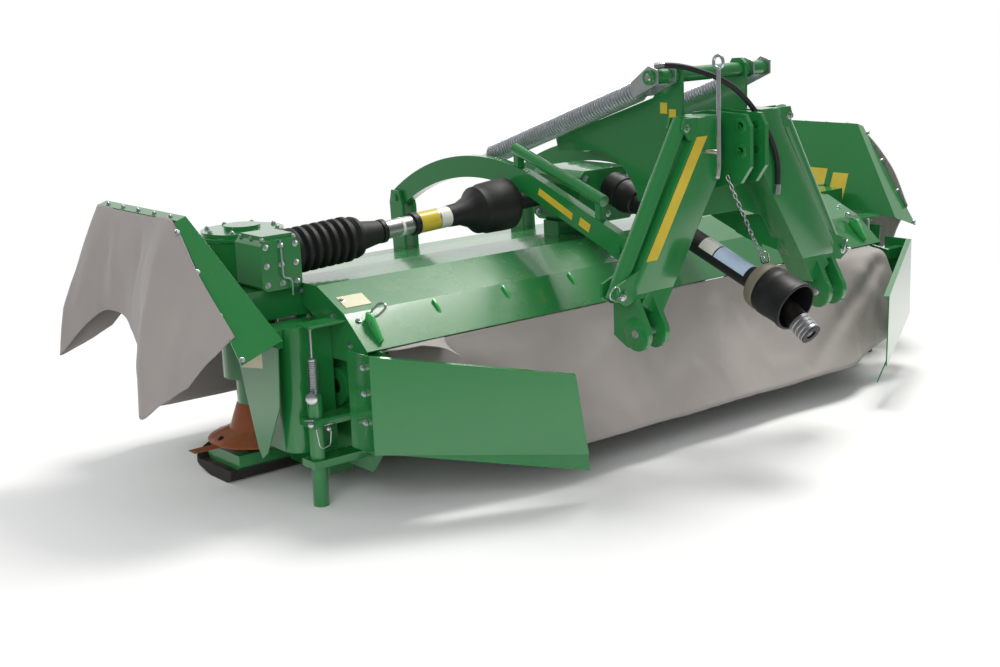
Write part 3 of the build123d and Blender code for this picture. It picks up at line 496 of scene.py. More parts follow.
@dataclass(frozen=True)
class Canvas(Finish):
    """Coated protective cloth: a fine weave, soft stains and a low sheen."""

    threads: float = 420.0
    roughness: float = 0.62

    def build(self) -> bpy.types.Material:
        """Write the material.

        Returns:
            The material.
        """
        m = MaterialWriter(self.name)
        weave = m.effect(Effect.WEAVE, UV=m.uv, Threads=self.threads, Depth=0.00012)
        tone = m.effect(Effect.DRIFT, Colour=self.colour, Scale=4.0, Amount=0.22).outputs["Colour"]
        stains = m.effect(Effect.DUST, Scale=5.0, Amount=0.5).outputs["Mask"]
        dark = m.mix(0.5, tone, (0.0, 0.0, 0.0))
        shaded = m.mix(m.math("MULTIPLY", weave.outputs["Shade"], 0.16), tone, dark)
        creases = m.math("MULTIPLY", m.noise(m.place, 26.0, 4.0, 0.6), 0.0016)
        height = m.math("ADD", weave.outputs["Height"], creases)
        bump = m.add("Bump", {"Height": height, "Distance": 1.0, "Strength": 0.8})
        return m.surface(
            Base_Color=m.mix(m.math("MULTIPLY", stains, 0.3), shaded, (0.42, 0.39, 0.35)),
            Roughness=self.roughness,
            Sheen_Weight=0.25,
            Sheen_Roughness=0.5,
            Normal=bump.outputs["Normal"],
        )


GREEN = Paint("Green enamel", (0.014, 0.185, 0.042), Slot.PAINT)
# Lighter copy of the green enamel: a painted highlight for the hood's tabs and corner bars, as if lit from above.
GREEN_PAINTED_HIGHLIGHT = Paint("Green enamel painted highlight", (0.05, 0.42, 0.10), Slot.PAINT, dust=0.05, wear=0.1)
ROTOR = Paint("Rotor enamel", (0.30, 0.075, 0.02), Slot.ROTOR, roughness=0.42, gloss=0.2, dust=0.5, wear=0.8)
ZINC = Plated("Zinc plate", (0.74, 0.77, 0.81), Slot.ZINC)
BRIGHT = Plated("Bright steel", (0.68, 0.69, 0.7), Slot.ZINC, roughness=0.22, mottle=0.2)
SHAFT_TUBE = Plated("Grey shaft tube", (0.5, 0.51, 0.53), Slot.ZINC, roughness=0.4, mottle=0.3)
DARK_STEEL = Cast("Dark steel", (0.045, 0.04, 0.036), Slot.DARK)
FORGED = Cast("Forged steel", (0.016, 0.016, 0.016), Slot.FORGED, roughness=0.42)
BLACK_PLASTIC = Plastic("Black plastic", (0.009, 0.009, 0.011), Slot.PLASTIC, roughness=0.5, dust=0.08)
BLACK_RUBBER = Plastic("Black rubber", (0.012, 0.012, 0.013), Slot.PLASTIC, roughness=0.58, grain=0.0003)
TAN_PLASTIC = Plastic("Grey-brown plastic", (0.17, 0.15, 0.11), Slot.PLASTIC, roughness=0.5)
YELLOW_FILM = Plastic("Yellow film", (0.62, 0.47, 0.04), Slot.PLASTIC, roughness=0.35, grain=0.00001, dust=0.1)
CREAM_FILM = Plastic("Cream film", (0.66, 0.62, 0.42), Slot.PLASTIC, roughness=0.35, grain=0.00001, dust=0.1)
PALE_FILM = Plastic("Pale film", (0.72, 0.72, 0.66), Slot.PLASTIC, roughness=0.35, grain=0.00001, dust=0.1)
BLUE_FILM = Plastic("Blue film", (0.5, 0.62, 0.8), Slot.PLASTIC, roughness=0.3, grain=0.00001, dust=0.05)
CANVAS = Canvas("Grey canvas", (0.36, 0.325, 0.31), Slot.CANVAS)

NODE_FINISH: dict[Slot, Finish] = {
    Slot.PAINT: GREEN,
    Slot.CANVAS: CANVAS,
    Slot.ROTOR: ROTOR,
    Slot.DARK: DARK_STEEL,
    Slot.ZINC: ZINC,
    Slot.PLASTIC: BLACK_PLASTIC,
    Slot.FORGED: FORGED,
    Slot.HOSE: BLACK_RUBBER,
}


# ================================================================== the bench: tools for modelling
class Bench:
    """Modelling by Blender's own operators, with nothing left selected."""

    @staticmethod
    def clear() -> None:
        """Deselect everything and leave edit mode."""
        if bpy.context.mode != "OBJECT":
            bpy.ops.object.mode_set(mode="OBJECT")
        bpy.ops.object.select_all(action="DESELECT")

    @staticmethod
    def take(piece: Piece) -> None:
        """Select one object and make it active.

        Args:
            piece: object to select.
        """
        Bench.clear()
        piece.select_set(True)
        bpy.context.view_layer.objects.active = piece

    @staticmethod
    def edit(piece: Piece) -> None:
        """Enter edit mode with the whole piece selected.

        Args:
            piece: mesh object.
        """
        Bench.take(piece)
        bpy.ops.object.mode_set(mode="EDIT")
        bpy.ops.mesh.select_all(action="SELECT")

    @staticmethod
    def close(piece: Piece) -> Piece:
        """Turn all faces of the edited piece outwards and leave edit mode.

        Args:
            piece: the edited object.

        Returns:
            The same object.
        """
        bpy.ops.mesh.select_all(action="SELECT")
        bpy.ops.mesh.normals_make_consistent(inside=False)
        bpy.ops.object.mode_set(mode="OBJECT")
        return piece

    @staticmethod
    def extrude(step: Vector) -> None:
        """Extrude the selected faces by a step."""
        bpy.ops.mesh.extrude_region_move(TRANSFORM_OT_translate={"value": step})

    @staticmethod
    def apply(piece: Piece, kind: str, **settings: object) -> None:
        """Add a modifier and apply it.

        Args:
            piece: mesh object.
            kind: modifier type.
            settings: its attributes.
        """
        Bench.take(piece)
        modifier = piece.modifiers.new(kind.title(), kind)
        for name, value in settings.items():
            setattr(modifier, name, value)
        bpy.ops.object.modifier_apply(modifier=modifier.name)

    @staticmethod
    def settle(piece: Piece) -> Piece:
        """Move a piece's place, turn and size into its mesh.

        Args:
            piece: object to settle.

        Returns:
            The same object.
        """
        Bench.take(piece)
        bpy.ops.object.transform_apply(location=True, rotation=True, scale=True)
        return piece

    @staticmethod
    def aim(place: Vector, heading: Vector, turn: float = 0.0) -> Matrix:
        """Placing of a piece modelled on the Z axis: its foot, its heading and a turn in degrees."""
        tilt = heading.to_track_quat("Z", "Y").to_matrix().to_4x4()
        return Matrix.Translation(place) @ tilt @ Matrix.Rotation(math.radians(turn), 4, "Z")

    @staticmethod
    def turned(stations: Sequence[Pair], sides: int = 28) -> Piece:
        """Turned body on the Z axis, drawn out of a flat round face.

        Args:
            stations: height and radius of each ring, in millimetres; heights may go back down a bore.
            sides: corners of each ring.

        Returns:
            The piece.
        """
        (height, radius), *rest = stations
        Bench.clear()
        bpy.ops.mesh.primitive_circle_add(
            vertices=sides, radius=radius * MM, fill_type="NGON", location=(0, 0, height * MM)
        )
        piece = Bench.settle(bpy.context.active_object)
        Bench.edit(piece)
        for z, r in rest:
            Bench.extrude(Vector((0, 0, (z - height) * MM)))
            bpy.ops.transform.resize(value=(r / radius, r / radius, 1), center_override=(0, 0, z * MM))
            height, radius = z, r
        return Bench.close(piece)

    @staticmethod
    def lathe(foot: Point, head: Point, stations: Sequence[Pair], sides: int = 28) -> Piece:
        """Turned body whose axis runs from one place towards another.

        Args:
            foot: start of the axis.
            head: any further point of it.
            stations: distance from the foot and radius of each ring.
            sides: corners of each ring.

        Returns:
            The piece.
        """
        piece = Bench.turned(stations, sides)
        piece.matrix_world = Bench.aim(at(*foot), at(*head) - at(*foot))
        return Bench.settle(piece)

    @staticmethod
    def bent_rod(points: Sequence[Point], radius: float, bend: float, sides: int = 12) -> Piece:
        """Round bar with straight runs, spun round each corner.

        Args:
            points: ends and corners.
            radius: of the bar.
            bend: radius of the bar's centre line in a corner.
            sides: corners of its section.

        Returns:
            The piece.
        """
        spots = [at(*p) for p in points]
        heading = (spots[1] - spots[0]).normalized()
        Bench.clear()
        bpy.ops.mesh.primitive_circle_add(vertices=sides, radius=radius * MM, fill_type="NGON")
        piece = bpy.context.active_object
        piece.matrix_world = Bench.aim(spots[0], heading)
        Bench.settle(piece)
        Bench.edit(piece)
        here = spots[0]
        for corner, after in zip(spots[1:], spots[2:]):
            turned = (after - corner).normalized()
            angle = heading.angle(turned)
            cut = bend * MM * math.tan(angle / 2)
            Bench.extrude(corner - heading * cut - here)
            axis = heading.cross(turned).normalized()
            centre = corner - heading * cut + axis.cross(heading) * bend * MM
            steps = max(2, round(math.degrees(angle) / 15))
            bpy.ops.mesh.spin(steps=steps, angle=-angle, center=centre, axis=axis)
            here = corner + turned * cut
            heading = turned
        Bench.extrude(spots[-1] - here)
        return Bench.close(piece)

    @staticmethod
    def plate(outline: Sequence[Point], thickness: float, edge: float = 0.8) -> Piece:
        """Flat plate drawn corner by corner, then thickened towards the side that sees it anticlockwise.

        Args:
            outline: its corners.
            thickness: of the plate.
            edge: width of the rounded edge, or 0.

        Returns:
            The piece.
        """
        spots = [at(*p) for p in outline]
        Bench.clear()
        bpy.ops.mesh.primitive_plane_add(size=0.01)
        piece = bpy.context.active_object
        Bench.edit(piece)
        bpy.ops.mesh.merge(type="CENTER")
        bpy.ops.mesh.select_all(action="SELECT")
        bpy.ops.transform.translate(value=spots[0])
        for a, b in zip(spots, spots[1:]):
            bpy.ops.mesh.extrude_vertices_move(TRANSFORM_OT_translate={"value": b - a})
        bpy.ops.mesh.select_all(action="SELECT")
        bpy.ops.mesh.edge_face_add()
        Bench.extrude(normal_of(spots) * thickness * MM)
        Bench.close(piece)
        if edge:
            Bench.apply(
                piece, "BEVEL", width=edge * MM, segments=2, limit_method="ANGLE", angle_limit=math.radians(40)
            )
        return piece

    @staticmethod
    def film(outline: Sequence[Point]) -> Piece:
        """Blank film over an outline."""
        return Bench.plate(outline, FILM_T, 0)

    @staticmethod
    def coil(wire: float, radius: float, length: float, turns: int) -> Piece:
        """Helical spring on the Z axis with closed ends.

        Args:
            wire: radius of the wire.
            radius: of the helix, to the wire's centre.
            length: from its first to its last wire centre.
            turns: whole turns.

        Returns:
            The piece.
        """
        Bench.clear()
        bpy.ops.mesh.primitive_circle_add(
            vertices=8, radius=wire * MM, location=(radius * MM, 0, 0), rotation=(math.pi / 2, 0, 0)
        )
        piece = Bench.settle(bpy.context.active_object)
        Bench.apply(
            piece, "SCREW", axis="Z", screw_offset=length * MM / turns, iterations=turns,
            steps=COIL_STEPS, render_steps=COIL_STEPS,
        )
        Bench.edit(piece)
        bpy.ops.mesh.select_all(action="DESELECT")
        bpy.ops.mesh.select_mode(type="EDGE")
        bpy.ops.mesh.select_non_manifold()
        bpy.ops.mesh.fill()
        return Bench.close(piece)

    @staticmethod
    def loop(radius: float, wire: float, stretch: float = 0.0, sides: int = 20) -> Piece:
        """Ring on the Z axis, its +X half drawn out to a link by a stretch.

        Args:
            radius: of the ring, to the wire's centre.
            wire: radius of the wire.
            stretch: distance that the half is moved by.
            sides: divisions of the ring.

        Returns:
            The piece.
        """
        Bench.clear()
        bpy.ops.mesh.primitive_torus_add(
            major_radius=radius * MM, minor_radius=wire * MM, major_segments=sides, minor_segments=8
        )
        piece = bpy.context.active_object
        if stretch:
            Bench.edit(piece)
            bpy.ops.mesh.select_mode(type="VERT")
            bpy.ops.mesh.select_all(action="DESELECT")
            bpy.ops.object.mode_set(mode="OBJECT")
            for point in piece.data.vertices:
                point.select = point.co.x > 0
            bpy.ops.object.mode_set(mode="EDIT")
            bpy.ops.transform.translate(value=(stretch * MM, 0, 0))
            bpy.ops.object.mode_set(mode="OBJECT")
        return piece

    @staticmethod
    def join(pieces: Iterable[Piece]) -> Piece:
        """Several pieces as one object.

        Args:
            pieces: objects to join.

        Returns:
            The first of them, which holds all.
        """
        pieces = list(pieces)
        Bench.clear()
        for piece in pieces:
            piece.select_set(True)
        bpy.context.view_layer.objects.active = pieces[0]
        if len(pieces) > 1:
            bpy.ops.object.join()
        return pieces[0]

    @staticmethod
    def copy(model: Piece, placing: Matrix) -> Piece:
        """Copy of a model with its own mesh, moved by a matrix.

        Args:
            model: object to copy.
            placing: matrix that moves the copy.

        Returns:
            The copy.
        """
        new = linked(model.name, model.data.copy())
        new.matrix_world = placing
        return Bench.settle(new)

    @staticmethod
    def copies(model: Piece, placings: Iterable[Matrix]) -> Piece:
        """Copies of a model, joined; the model itself is taken away.

        Args:
            model: object to copy.
            placings: one matrix for each copy.

        Returns:
            The joined copies.
        """
        made = [Bench.copy(model, placing) for placing in placings]
        bpy.data.objects.remove(model)
        return Bench.join(made)

    @staticmethod
    def across(piece: Piece) -> Piece:
        """Mirror image of a piece across the machine, as an object of its own.

        Args:
            piece: object to mirror.

        Returns:
            The mirror image.
        """
        image = Bench.copy(piece, Matrix.Scale(-1, 4, (1, 0, 0)))
        Bench.edit(image)
        return Bench.close(image)

    @staticmethod
    def both(piece: Piece) -> Piece:
        """A piece and its mirror image across the machine, as one object."""
        return Bench.join((piece, Bench.across(piece)))

    @staticmethod
    def finish(
        piece: Piece, name: str, finish: Finish, angle: float = 35.0, body: str = CHASSIS
    ) -> Piece:
        """Name, shade, dress and attach a finished piece.

        Args:
            piece: the modelled object.
            name: its name in the table.
            finish: its look, with the record slot that it stands for.
            angle: edges sharper than this stay sharp, in degrees.
            body: CAD body that it moves with.

        Returns:
            The same object.
        """
        Bench.settle(piece)
        bpy.ops.object.shade_smooth_by_angle(angle=math.radians(angle))
        piece.name = name
        piece.data.name = name
        piece.data.materials.clear()
        piece.data.materials.append(finish.material())
        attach(piece, body)
        Bench.clear()
        log.info("made %s", name)
        return piece


def normal_of(spots: Sequence[Vector]) -> Vector:
    """Unit normal of a flat outline, towards the side that sees it anticlockwise.

    Args:
        spots: corners of the outline.

    Returns:
        The normal.
    """
    total = Vector()
    for a, b in zip(spots, [*spots[1:], spots[0]]):
        total += a.cross(b)
    return total.normalized()


class Hardware:
    """Small parts that many places share, each modelled once on the Z axis."""

    @staticmethod
    def bolt(head: float = 9.0, height: float = 6.0) -> Piece:
        """Hexagon bolt head with bevelled top edges and a short stud standing out of it, on a washer.

        Args:
            head: radius of the hexagon over its corners.
            height: height of the hexagon.

        Returns:
            The model.
        """
        washer = Bench.turned([(0, head * 1.3), (1.6, head * 1.3), (2.0, head * 1.15)], 18)
        Bench.clear()
        bpy.ops.mesh.primitive_cylinder_add(
            vertices=6, radius=head * MM, depth=height * MM, location=(0, 0, (height / 2 + 1.8) * MM)
        )
        nut = Bench.settle(bpy.context.active_object)
        Bench.apply(nut, "BEVEL", width=1.2 * MM, segments=1, limit_method="ANGLE", angle_limit=1.2)
        stud = Bench.turned([(0, head * 0.5), (height + 3.5, head * 0.5), (height + 4.2, head * 0.42)], 12)
        return Bench.join((washer, nut, stud))

    @staticmethod
    def bolts(spots: Iterable[Spot], head: float = 9.0, height: float = 6.0) -> Piece:
        """Bolts at the given places and headings, as one object."""
        model = Hardware.bolt(head, height)
        return Bench.copies(model, [Bench.aim(at(*place), Vector(way), 15.0) for place, way in spots])

    @staticmethod
    def rows(name: str, rows: dict[Point, Sequence[Point]], head: float, height: float, both: bool = True) -> None:
        """Finished zinc bolts on the chassis, in rows of one heading each.

        Args:
            name: name of the piece.
            rows: places by heading.
            head: radius of the hexagons.
            height: their height.
            both: whether their mirror images are wanted too.
        """
        spots = [
            ((sign * x, y, z), (sign * i, j, k))
            for sign in ((-1, 1) if both else (1,)) for (i, j, k), places in rows.items() for x, y, z in places
        ]
        Bench.finish(Hardware.bolts(spots, head, height), name, ZINC)

    @staticmethod
    def linchpin(reach: float = 26.0) -> Piece:
        """Spring pin: a plain pin across the axis and a ring folded over it.

        Args:
            reach: length of the pin below its place.

        Returns:
            The model.
        """
        pin = Bench.turned([(-reach, 4.0), (reach * 0.6, 4.5), (reach * 0.7, 3.0)], 12)
        ring = Bench.loop(22.0, 2.2)
        ring.matrix_world = Matrix.Translation((0, 20 * MM, reach * 0.2 * MM)) @ Matrix.Rotation(0.5, 4, "X")
        return Bench.join((pin, Bench.settle(ring)))

    @staticmethod
    def lanyard_pin() -> Piece:
        """Lock pin with a pull ring, its shank along the axis.

        Returns:
            The model.
        """
        shank = Bench.turned([(-45, 5.0), (14, 5.0), (15, 9.0), (20, 9.0), (22, 6.5)], 14)
        ring = Bench.loop(17.0, 1.8)
        ring.matrix_world = Matrix.Translation((0, 14 * MM, 22 * MM)) @ Matrix.Rotation(1.2, 4, "X")
        return Bench.join((shank, Bench.settle(ring)))


# ================================================================== cloth
@dataclass(frozen=True)
class Crease:
    """Long fold in a cloth, between two places of its flat map in metres."""

    start: Pair
    end: Pair
    depth: float
    width: float

    def height(self, u: float, v: float) -> float:
        """Height that the fold gives at a place of the flat map, in millimetres.

        Args:
            u: distance along the cloth.
            v: distance down it.

        Returns:
            The height.
        """
        a, b, here = Vector(self.start), Vector(self.end), Vector((u, v))
        run = b - a
        share = min(1.0, max(0.0, (here - a).dot(run) / run.length_squared))
        gap = (here - a - run * share).length / self.width
        return self.depth * math.exp(-gap * gap) * (1 - 0.7 * share)


@dataclass
class Cloth:
    """Sheet through a lattice of places, softened by folds and crumples, then thickened."""

    rows: list[list[Point]]
    across: int = 10
    down: int = 8
    thickness: float = 3.0
    crumple: float = 5.0
    pleat: float = 6.0
    pleats: float = 9.0
    seed: float = 0.0
    held_rows: int = 1
    creases: tuple[Crease, ...] = ()

    @staticmethod
    def through(line: Sequence[Vector], t: float) -> Vector:
        """Point of a smooth line through the given points, with t counted in points.

        Args:
            line: points of the line.
            t: place on it.

        Returns:
            The point.
        """
        i = min(int(t), len(line) - 2)
        f = t - i
        b, c = line[i], line[i + 1]
        a = line[i - 1] if i else b * 2 - c
        d = line[i + 2] if i + 2 < len(line) else c * 2 - b
        return 0.5 * (
            2 * b + (c - a) * f + (2 * a - 5 * b + 4 * c - d) * f * f + (3 * b - a - 3 * c + d) * f ** 3
        )

    def grid(self) -> list[list[Vector]]:
        """All points of the plain sheet, row by row from the top.

        Returns:
            Rows of points.
        """
        count = (len(self.rows[0]) - 1) * self.across
        wide = [
            [self.through([at(*p) for p in row], i / self.across) for i in range(count + 1)] for row in self.rows
        ]
        deep = (len(self.rows) - 1) * self.down
        return [
            [self.through([row[i] for row in wide], j / self.down) for i in range(count + 1)]
            for j in range(deep + 1)
        ]

    def lift(self, u: float, v: float, hold: float) -> float:
        """Height of folds and crumples over the plain sheet, in metres.

        Args:
            u: distance along the sheet's top, in metres.
            v: distance down it.
            hold: 0 where it is held, to 1 where it hangs free.

        Returns:
            Height along the sheet's normal.
        """
        drift = noise_at(Vector((u * 1.7, v * 1.1, self.seed))) * 0.3
        wave = math.sin((u + drift) * self.pleats * math.tau) * self.pleat
        soft = noise_at(Vector((u * 3.1, v * 2.3, self.seed + 4))) * self.crumple * 1.6
        sharp = 1 - abs(noise_at(Vector((u * 7.0 + v * 2.5, v * 4.2 - u, self.seed + 9)))) * 3.2
        folds = sum(crease.height(u, v) for crease in self.creases)
        return (wave + soft + folds + max(sharp, 0.0) * self.crumple * 0.55) * hold * MM

    def build(self) -> Piece:
        """Mesh of the sheet, with its own UV map in metres.

        Returns:
            The sheet.
        """
        grid = self.grid()
        rows, columns = len(grid), len(grid[0])
        mesh = bpy.data.meshes.new("cloth")
        faces = [
            (j * columns + i, (j + 1) * columns + i, (j + 1) * columns + i + 1, j * columns + i + 1)
            for j in range(rows - 1) for i in range(columns - 1)
        ]
        mesh.from_pydata([p for row in grid for p in row], [], faces)
        mesh.update()
        lengths = [0.0]
        middle = grid[rows // 2]
        for a, b in zip(middle, middle[1:]):
            lengths.append(lengths[-1] + (b - a).length)
        normals = [point.normal.copy() for point in mesh.vertices]
        spots: list[Pair] = []
        for i in range(columns):
            fall = 0.0
            for j in range(rows):
                if j:
                    fall += (grid[j][i] - grid[j - 1][i]).length
                spots.append((lengths[i], fall))
        held = self.held_rows * self.down
        for j in range(rows):
            hold = min(1.0, max(0.0, (j - held * 0.25) / max(held, 1)))
            for i in range(columns):
                u, v = spots[i * rows + j]
                point = mesh.vertices[j * columns + i]
                point.co += normals[point.index] * self.lift(u, v, hold)
        layer = mesh.uv_layers.new(name="UVMap")
        for corner in mesh.loops:
            j, i = divmod(corner.vertex_index, columns)
            layer.data[corner.index].uv = spots[i * rows + j]
        piece = linked("cloth", mesh)
        Bench.apply(piece, "SOLIDIFY", thickness=self.thickness * MM, offset=0.0)
        return piece


# ================================================================== canvases
@dataclass
class Canvases:
    """Crop curtains behind and in front, and the skirts of the side guards."""

    rear_x: tuple[float, ...] = (-1166, -1060, -930, -760, -520, -260, 0, 260, 520, 760, 930, 1060, 1166)

    def rear(self) -> None:
        """Long slack canvas under the hood's rear lip, drawn up at its ends."""
        rows: list[list[Point]] = [[], [], [], [], []]
        for x in self.rear_x:
            end = min(1.0, max(0.0, (abs(x) - 760) / 400))
            far = end if x > 0 else 0.0
            slack = 14 * math.sin(x * 0.006) + 9 * math.sin(x * 0.013 + 1)
            rows[0].append((x, 380, 490))
            rows[1].append((x, 366 - 20 * end - 40 * far, 428 + 12 * end + 22 * far))
            rows[2].append((x, 320 + slack - 32 * end - 42 * far, 330 + 30 * end + 8 * far))
            rows[3].append((x, 238 + slack - 4 * end - 18 * far, 220 + 62 * end - 24 * far))
            rows[4].append((x, 142 + 92 * end - 6 * far, 108 + 104 * end - 36 * far))
        creases = (
            Crease((2.30, 0.10), (1.75, 0.42), -26, 0.030),
            Crease((2.32, 0.06), (2.02, 0.30), 20, 0.055),
            Crease((2.20, 0.12), (2.26, 0.34), 13, 0.035),
            Crease((1.20, 0.30), (0.70, 0.44), 12, 0.045),
            Crease((0.30, 0.14), (0.72, 0.36), -12, 0.040),
            Crease((1.52, 0.10), (1.30, 0.40), -9, 0.040),
        )
        cloth = Cloth(
            rows, across=16, down=9, crumple=9.0, pleat=4.0, pleats=2.3, seed=3.0, creases=creases
        ).build()
        Bench.finish(cloth, "rear_canvas", CANVAS, SEAMLESS)
        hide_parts("rear_curtain")

    def flap(self) -> None:
        """Loose corner of canvas that lies over the left swath plate's upper edge."""
        rows: list[list[Point]] = [
            [(-1196, 372, 486), (-1130, 376, 488), (-1040, 378, 490), (-950, 379, 491)],
            [(-1200, 330, 500), (-1130, 322, 504), (-1040, 330, 496), (-960, 342, 470)],
            [(-1206, 262, 517), (-1140, 246, 516), (-1060, 236, 500), (-985, 246, 462)],
        ]
        cloth = Cloth(rows, across=9, down=8, crumple=5.0, pleat=3.0, pleats=5.0, seed=8.0).build()
        Bench.finish(cloth, "rear_canvas_flap", CANVAS, SEAMLESS)

    def front(self) -> None:
        """Crop curtain in front of the discs."""
        spots = [x * 1390 / 6 for x in range(-6, 7)]
        rows: list[list[Point]] = [
            [(x, 1534, 549) for x in spots],
            [(x, 1537 + 5 * math.sin(x * 0.01), 400) for x in spots],
            [(x, 1538 + 9 * math.sin(x * 0.012 + 1), 250) for x in spots],
            [(x, 1536 + 11 * math.sin(x * 0.014 + 2), 128) for x in spots],
        ]
        cloth = Cloth(rows, across=12, down=8, crumple=3.0, pleat=6.0, pleats=3.1, seed=5.0).build()
        Bench.finish(cloth, "front_canvas", CANVAS, SEAMLESS)
        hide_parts("front_curtain")

    def skirt_rows(self) -> list[list[Point]]:
        """Lattice of the right skirt: from the front rim, round the top bar, to the rear wing.

        Returns:
            Its four rows, from the top to the hem.
        """
        top: list[Point] = [
            (1497, 1345, 600), (1560, 1348, 770), (1628, 1345, 902), (1632, 1200, 905), (1632, 1060, 905),
            (1632, 930, 905), (1632, 800, 902), (1640, 640, 750), (1606, 520, 585),
        ]
        upper: list[Point] = [
            (1532, 1364, 570), (1622, 1374, 690), (1702, 1366, 745), (1664, 1210, 790), (1650, 1085, 800),
            (1660, 940, 785), (1702, 812, 745), (1684, 690, 640), (1634, 560, 545),
        ]
        lower: list[Point] = [
            (1566, 1380, 530), (1668, 1396, 560), (1758, 1398, 575), (1690, 1230, 668), (1668, 1105, 680),
            (1690, 950, 620), (1750, 838, 560), (1722, 735, 500), (1668, 610, 490),
        ]
        hem: list[Point] = [
            (1600, 1392, 492), (1700, 1412, 440), (1776, 1416, 414), (1694, 1262, 566), (1672, 1120, 566),
            (1702, 955, 470), (1774, 840, 312), (1746, 760, 360), (1700, 655, 425),
        ]
        return [top, upper, lower, hem]

    def skirts(self) -> None:
        """Skirt canvases, each drawn out to two corners."""
        creases = (
            Crease((0.42, 0.04), (0.50, 0.40), 9, 0.020),
            Crease((0.62, 0.02), (0.60, 0.34), -10, 0.022),
            Crease((0.80, 0.02), (0.86, 0.36), 9, 0.020),
            Crease((0.98, 0.02), (1.00, 0.40), -11, 0.025),
            Crease((1.22, 0.10), (1.34, 0.30), 10, 0.022),
            Crease((1.40, 0.14), (1.12, 0.42), -9, 0.022),
        )
        for side, sign in SIDES:
            rows = [[(sign * x, y, z) for x, y, z in row] for row in self.skirt_rows()]
            piece = Cloth(
                rows, across=12, down=12, crumple=5.5, pleat=5.0, pleats=4.2, seed=2.0, creases=creases
            ).build()
            Bench.edit(piece)
            Bench.close(piece)
            Bench.finish(piece, f"{side}_skirt_canvas", CANVAS, SEAMLESS, body=f"skirt_{side}")
            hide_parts(f"skirt_{side}")

    def build(self) -> None:
        """All canvases."""
        self.rear()
        self.flap()
        self.front()
        self.skirts()


# ================================================================== drive line
@dataclass
class DriveLine:
    """Guarded cross shaft and input shaft, with their bellows, bells and rings."""

    cross_foot: Point = (-1250.8, 790, 757.2)
    cross_head: Point = (-131.8, 790, 817.9)
    input_foot: Point = (0, -128, 560)
    input_head: Point = (0, 617.4, 843.3)
    yoke_end: Point = (0, -300, 437)

    def bellows(self) -> None:
        """Ribbed sleeve on the outer joint and the bell on the inner one."""
        stations: list[Pair] = [(0, 48), (0.5, 70)]
        for rib in range(10, 241, 33):
            stations += [(rib, 75), (rib + 12, 75), (rib + 17, 60), (rib + 27, 60)]
        stations += [(248, 70), (262, 66), (272, 50), (330, 41), (352, 38), (352, 30)]
        args = (self.cross_foot, self.cross_head)
        outer = Bench.lathe(*args, stations, 36)
        inner = Bench.lathe(
            *args,
            [(640, 30), (640, 37), (690, 40), (735, 58), (762, 82), (790, 84), (796, 88), (880, 92), (900, 92),
             (906, 88), (908, 60), (913, 58), (914, 34), (1120, 34), (1120.4, 30)], 36,
        )
        piece = Bench.join((outer, inner))
        Bench.finish(piece, "cross_shaft_bellows", BLACK_RUBBER)
        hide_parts("cross_shaft_guard")

    def ring(self, near: float, far: float, inner: float, outer: float) -> Piece:
        """Short sleeve on the cross shaft, between two distances from its foot."""
        stations = [(near, inner), (near, outer), (far, outer), (far, inner)]
        return Bench.lathe(self.cross_foot, self.cross_head, stations, 32)

    def tubes(self) -> None:
        """Steel tube between them, with its rings and blank bands."""
        stations: list[Pair] = [(330, 28), (330, 31), (500, 31), (500, 35), (650, 35), (650, 28)]
        tube = Bench.lathe(self.cross_foot, self.cross_head, stations, 32)
        Bench.finish(tube, "cross_shaft_tube", SHAFT_TUBE)
        for name, finish, rings in (
            ("cross_shaft_rings", BLACK_PLASTIC, ((488, 508, 36, 39), (356, 372, 31, 40))),
            ("cross_shaft_band", YELLOW_FILM, ((512, 590, 35, 36),)),
            ("cross_shaft_pale_bands", PALE_FILM, ((436, 446, 31, 32.5), (596, 640, 35, 36))),
        ):
            Bench.finish(Bench.join(self.ring(*ring) for ring in rings), name, finish)

    def input(self) -> None:
        """Input shaft guard with an open bell, its end ring and blank bands."""
        args = (self.input_foot, self.input_head)
        stations: list[Pair] = [
            (36, 20), (36, 66), (-112, 74), (-117, 75), (-118, 79), (-116, 83), (-102, 84), (-98, 80), (-40, 80),
            (-36, 82), (-10, 82), (-4, 78), (32, 75), (48, 71), (62, 56), (72, 41), (80, 38), (654, 38), (658, 46),
            (690, 58), (702, 60), (716, 60), (720, 56), (728, 56), (732, 60), (760, 60), (766, 55), (796, 54),
            (797, 40),
        ]
        guard = Bench.lathe(*args, stations, 40)
        Bench.finish(guard, "input_shaft_bell", BLACK_PLASTIC)
        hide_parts("input_shaft_guard")
        ring = Bench.lathe(*args, [(10, 74), (10, 79), (14, 81), (42, 77), (50, 72), (50, 66)], 40)
        Bench.finish(ring, "input_shaft_ring", TAN_PLASTIC)
        for name, near, far, finish in (
            ("input_shaft_blank_label", 92, 234, BLUE_FILM), ("input_shaft_grey_label", 240, 306, PALE_FILM)
        ):
            label = Bench.lathe(*args, [(near, 38), (near, 38.9), (far, 38.9), (far, 38)], 40)
            Bench.edit(label)
            bpy.ops.mesh.bisect(
                plane_co=at(0, -16, 612), plane_no=(0.0, -0.355, 0.935), clear_inner=True, use_fill=True
            )
            Bench.finish(Bench.close(label), name, finish)

    def yoke(self) -> None:
        """Ribbed steel collar on the yoke's free end."""
        stations: list[Pair] = [(148, 36), (148, 37.5)]
        for rib in range(152, 200, 16):
            stations += [(rib, 38.2), (rib + 8, 38.2), (rib + 10, 36.4), (rib + 14, 36.4)]
        stations += [(202, 37.6), (206, 37.6), (211, 34), (211, 20), (205, 18.5)]
        collar = Bench.lathe(self.input_foot, self.yoke_end, stations, 32)
        Bench.finish(collar, "input_yoke_collar", SHAFT_TUBE)

    def build(self) -> None:
        """The whole drive line."""
        self.bellows()
        self.tubes()
        self.input()
        self.yoke()


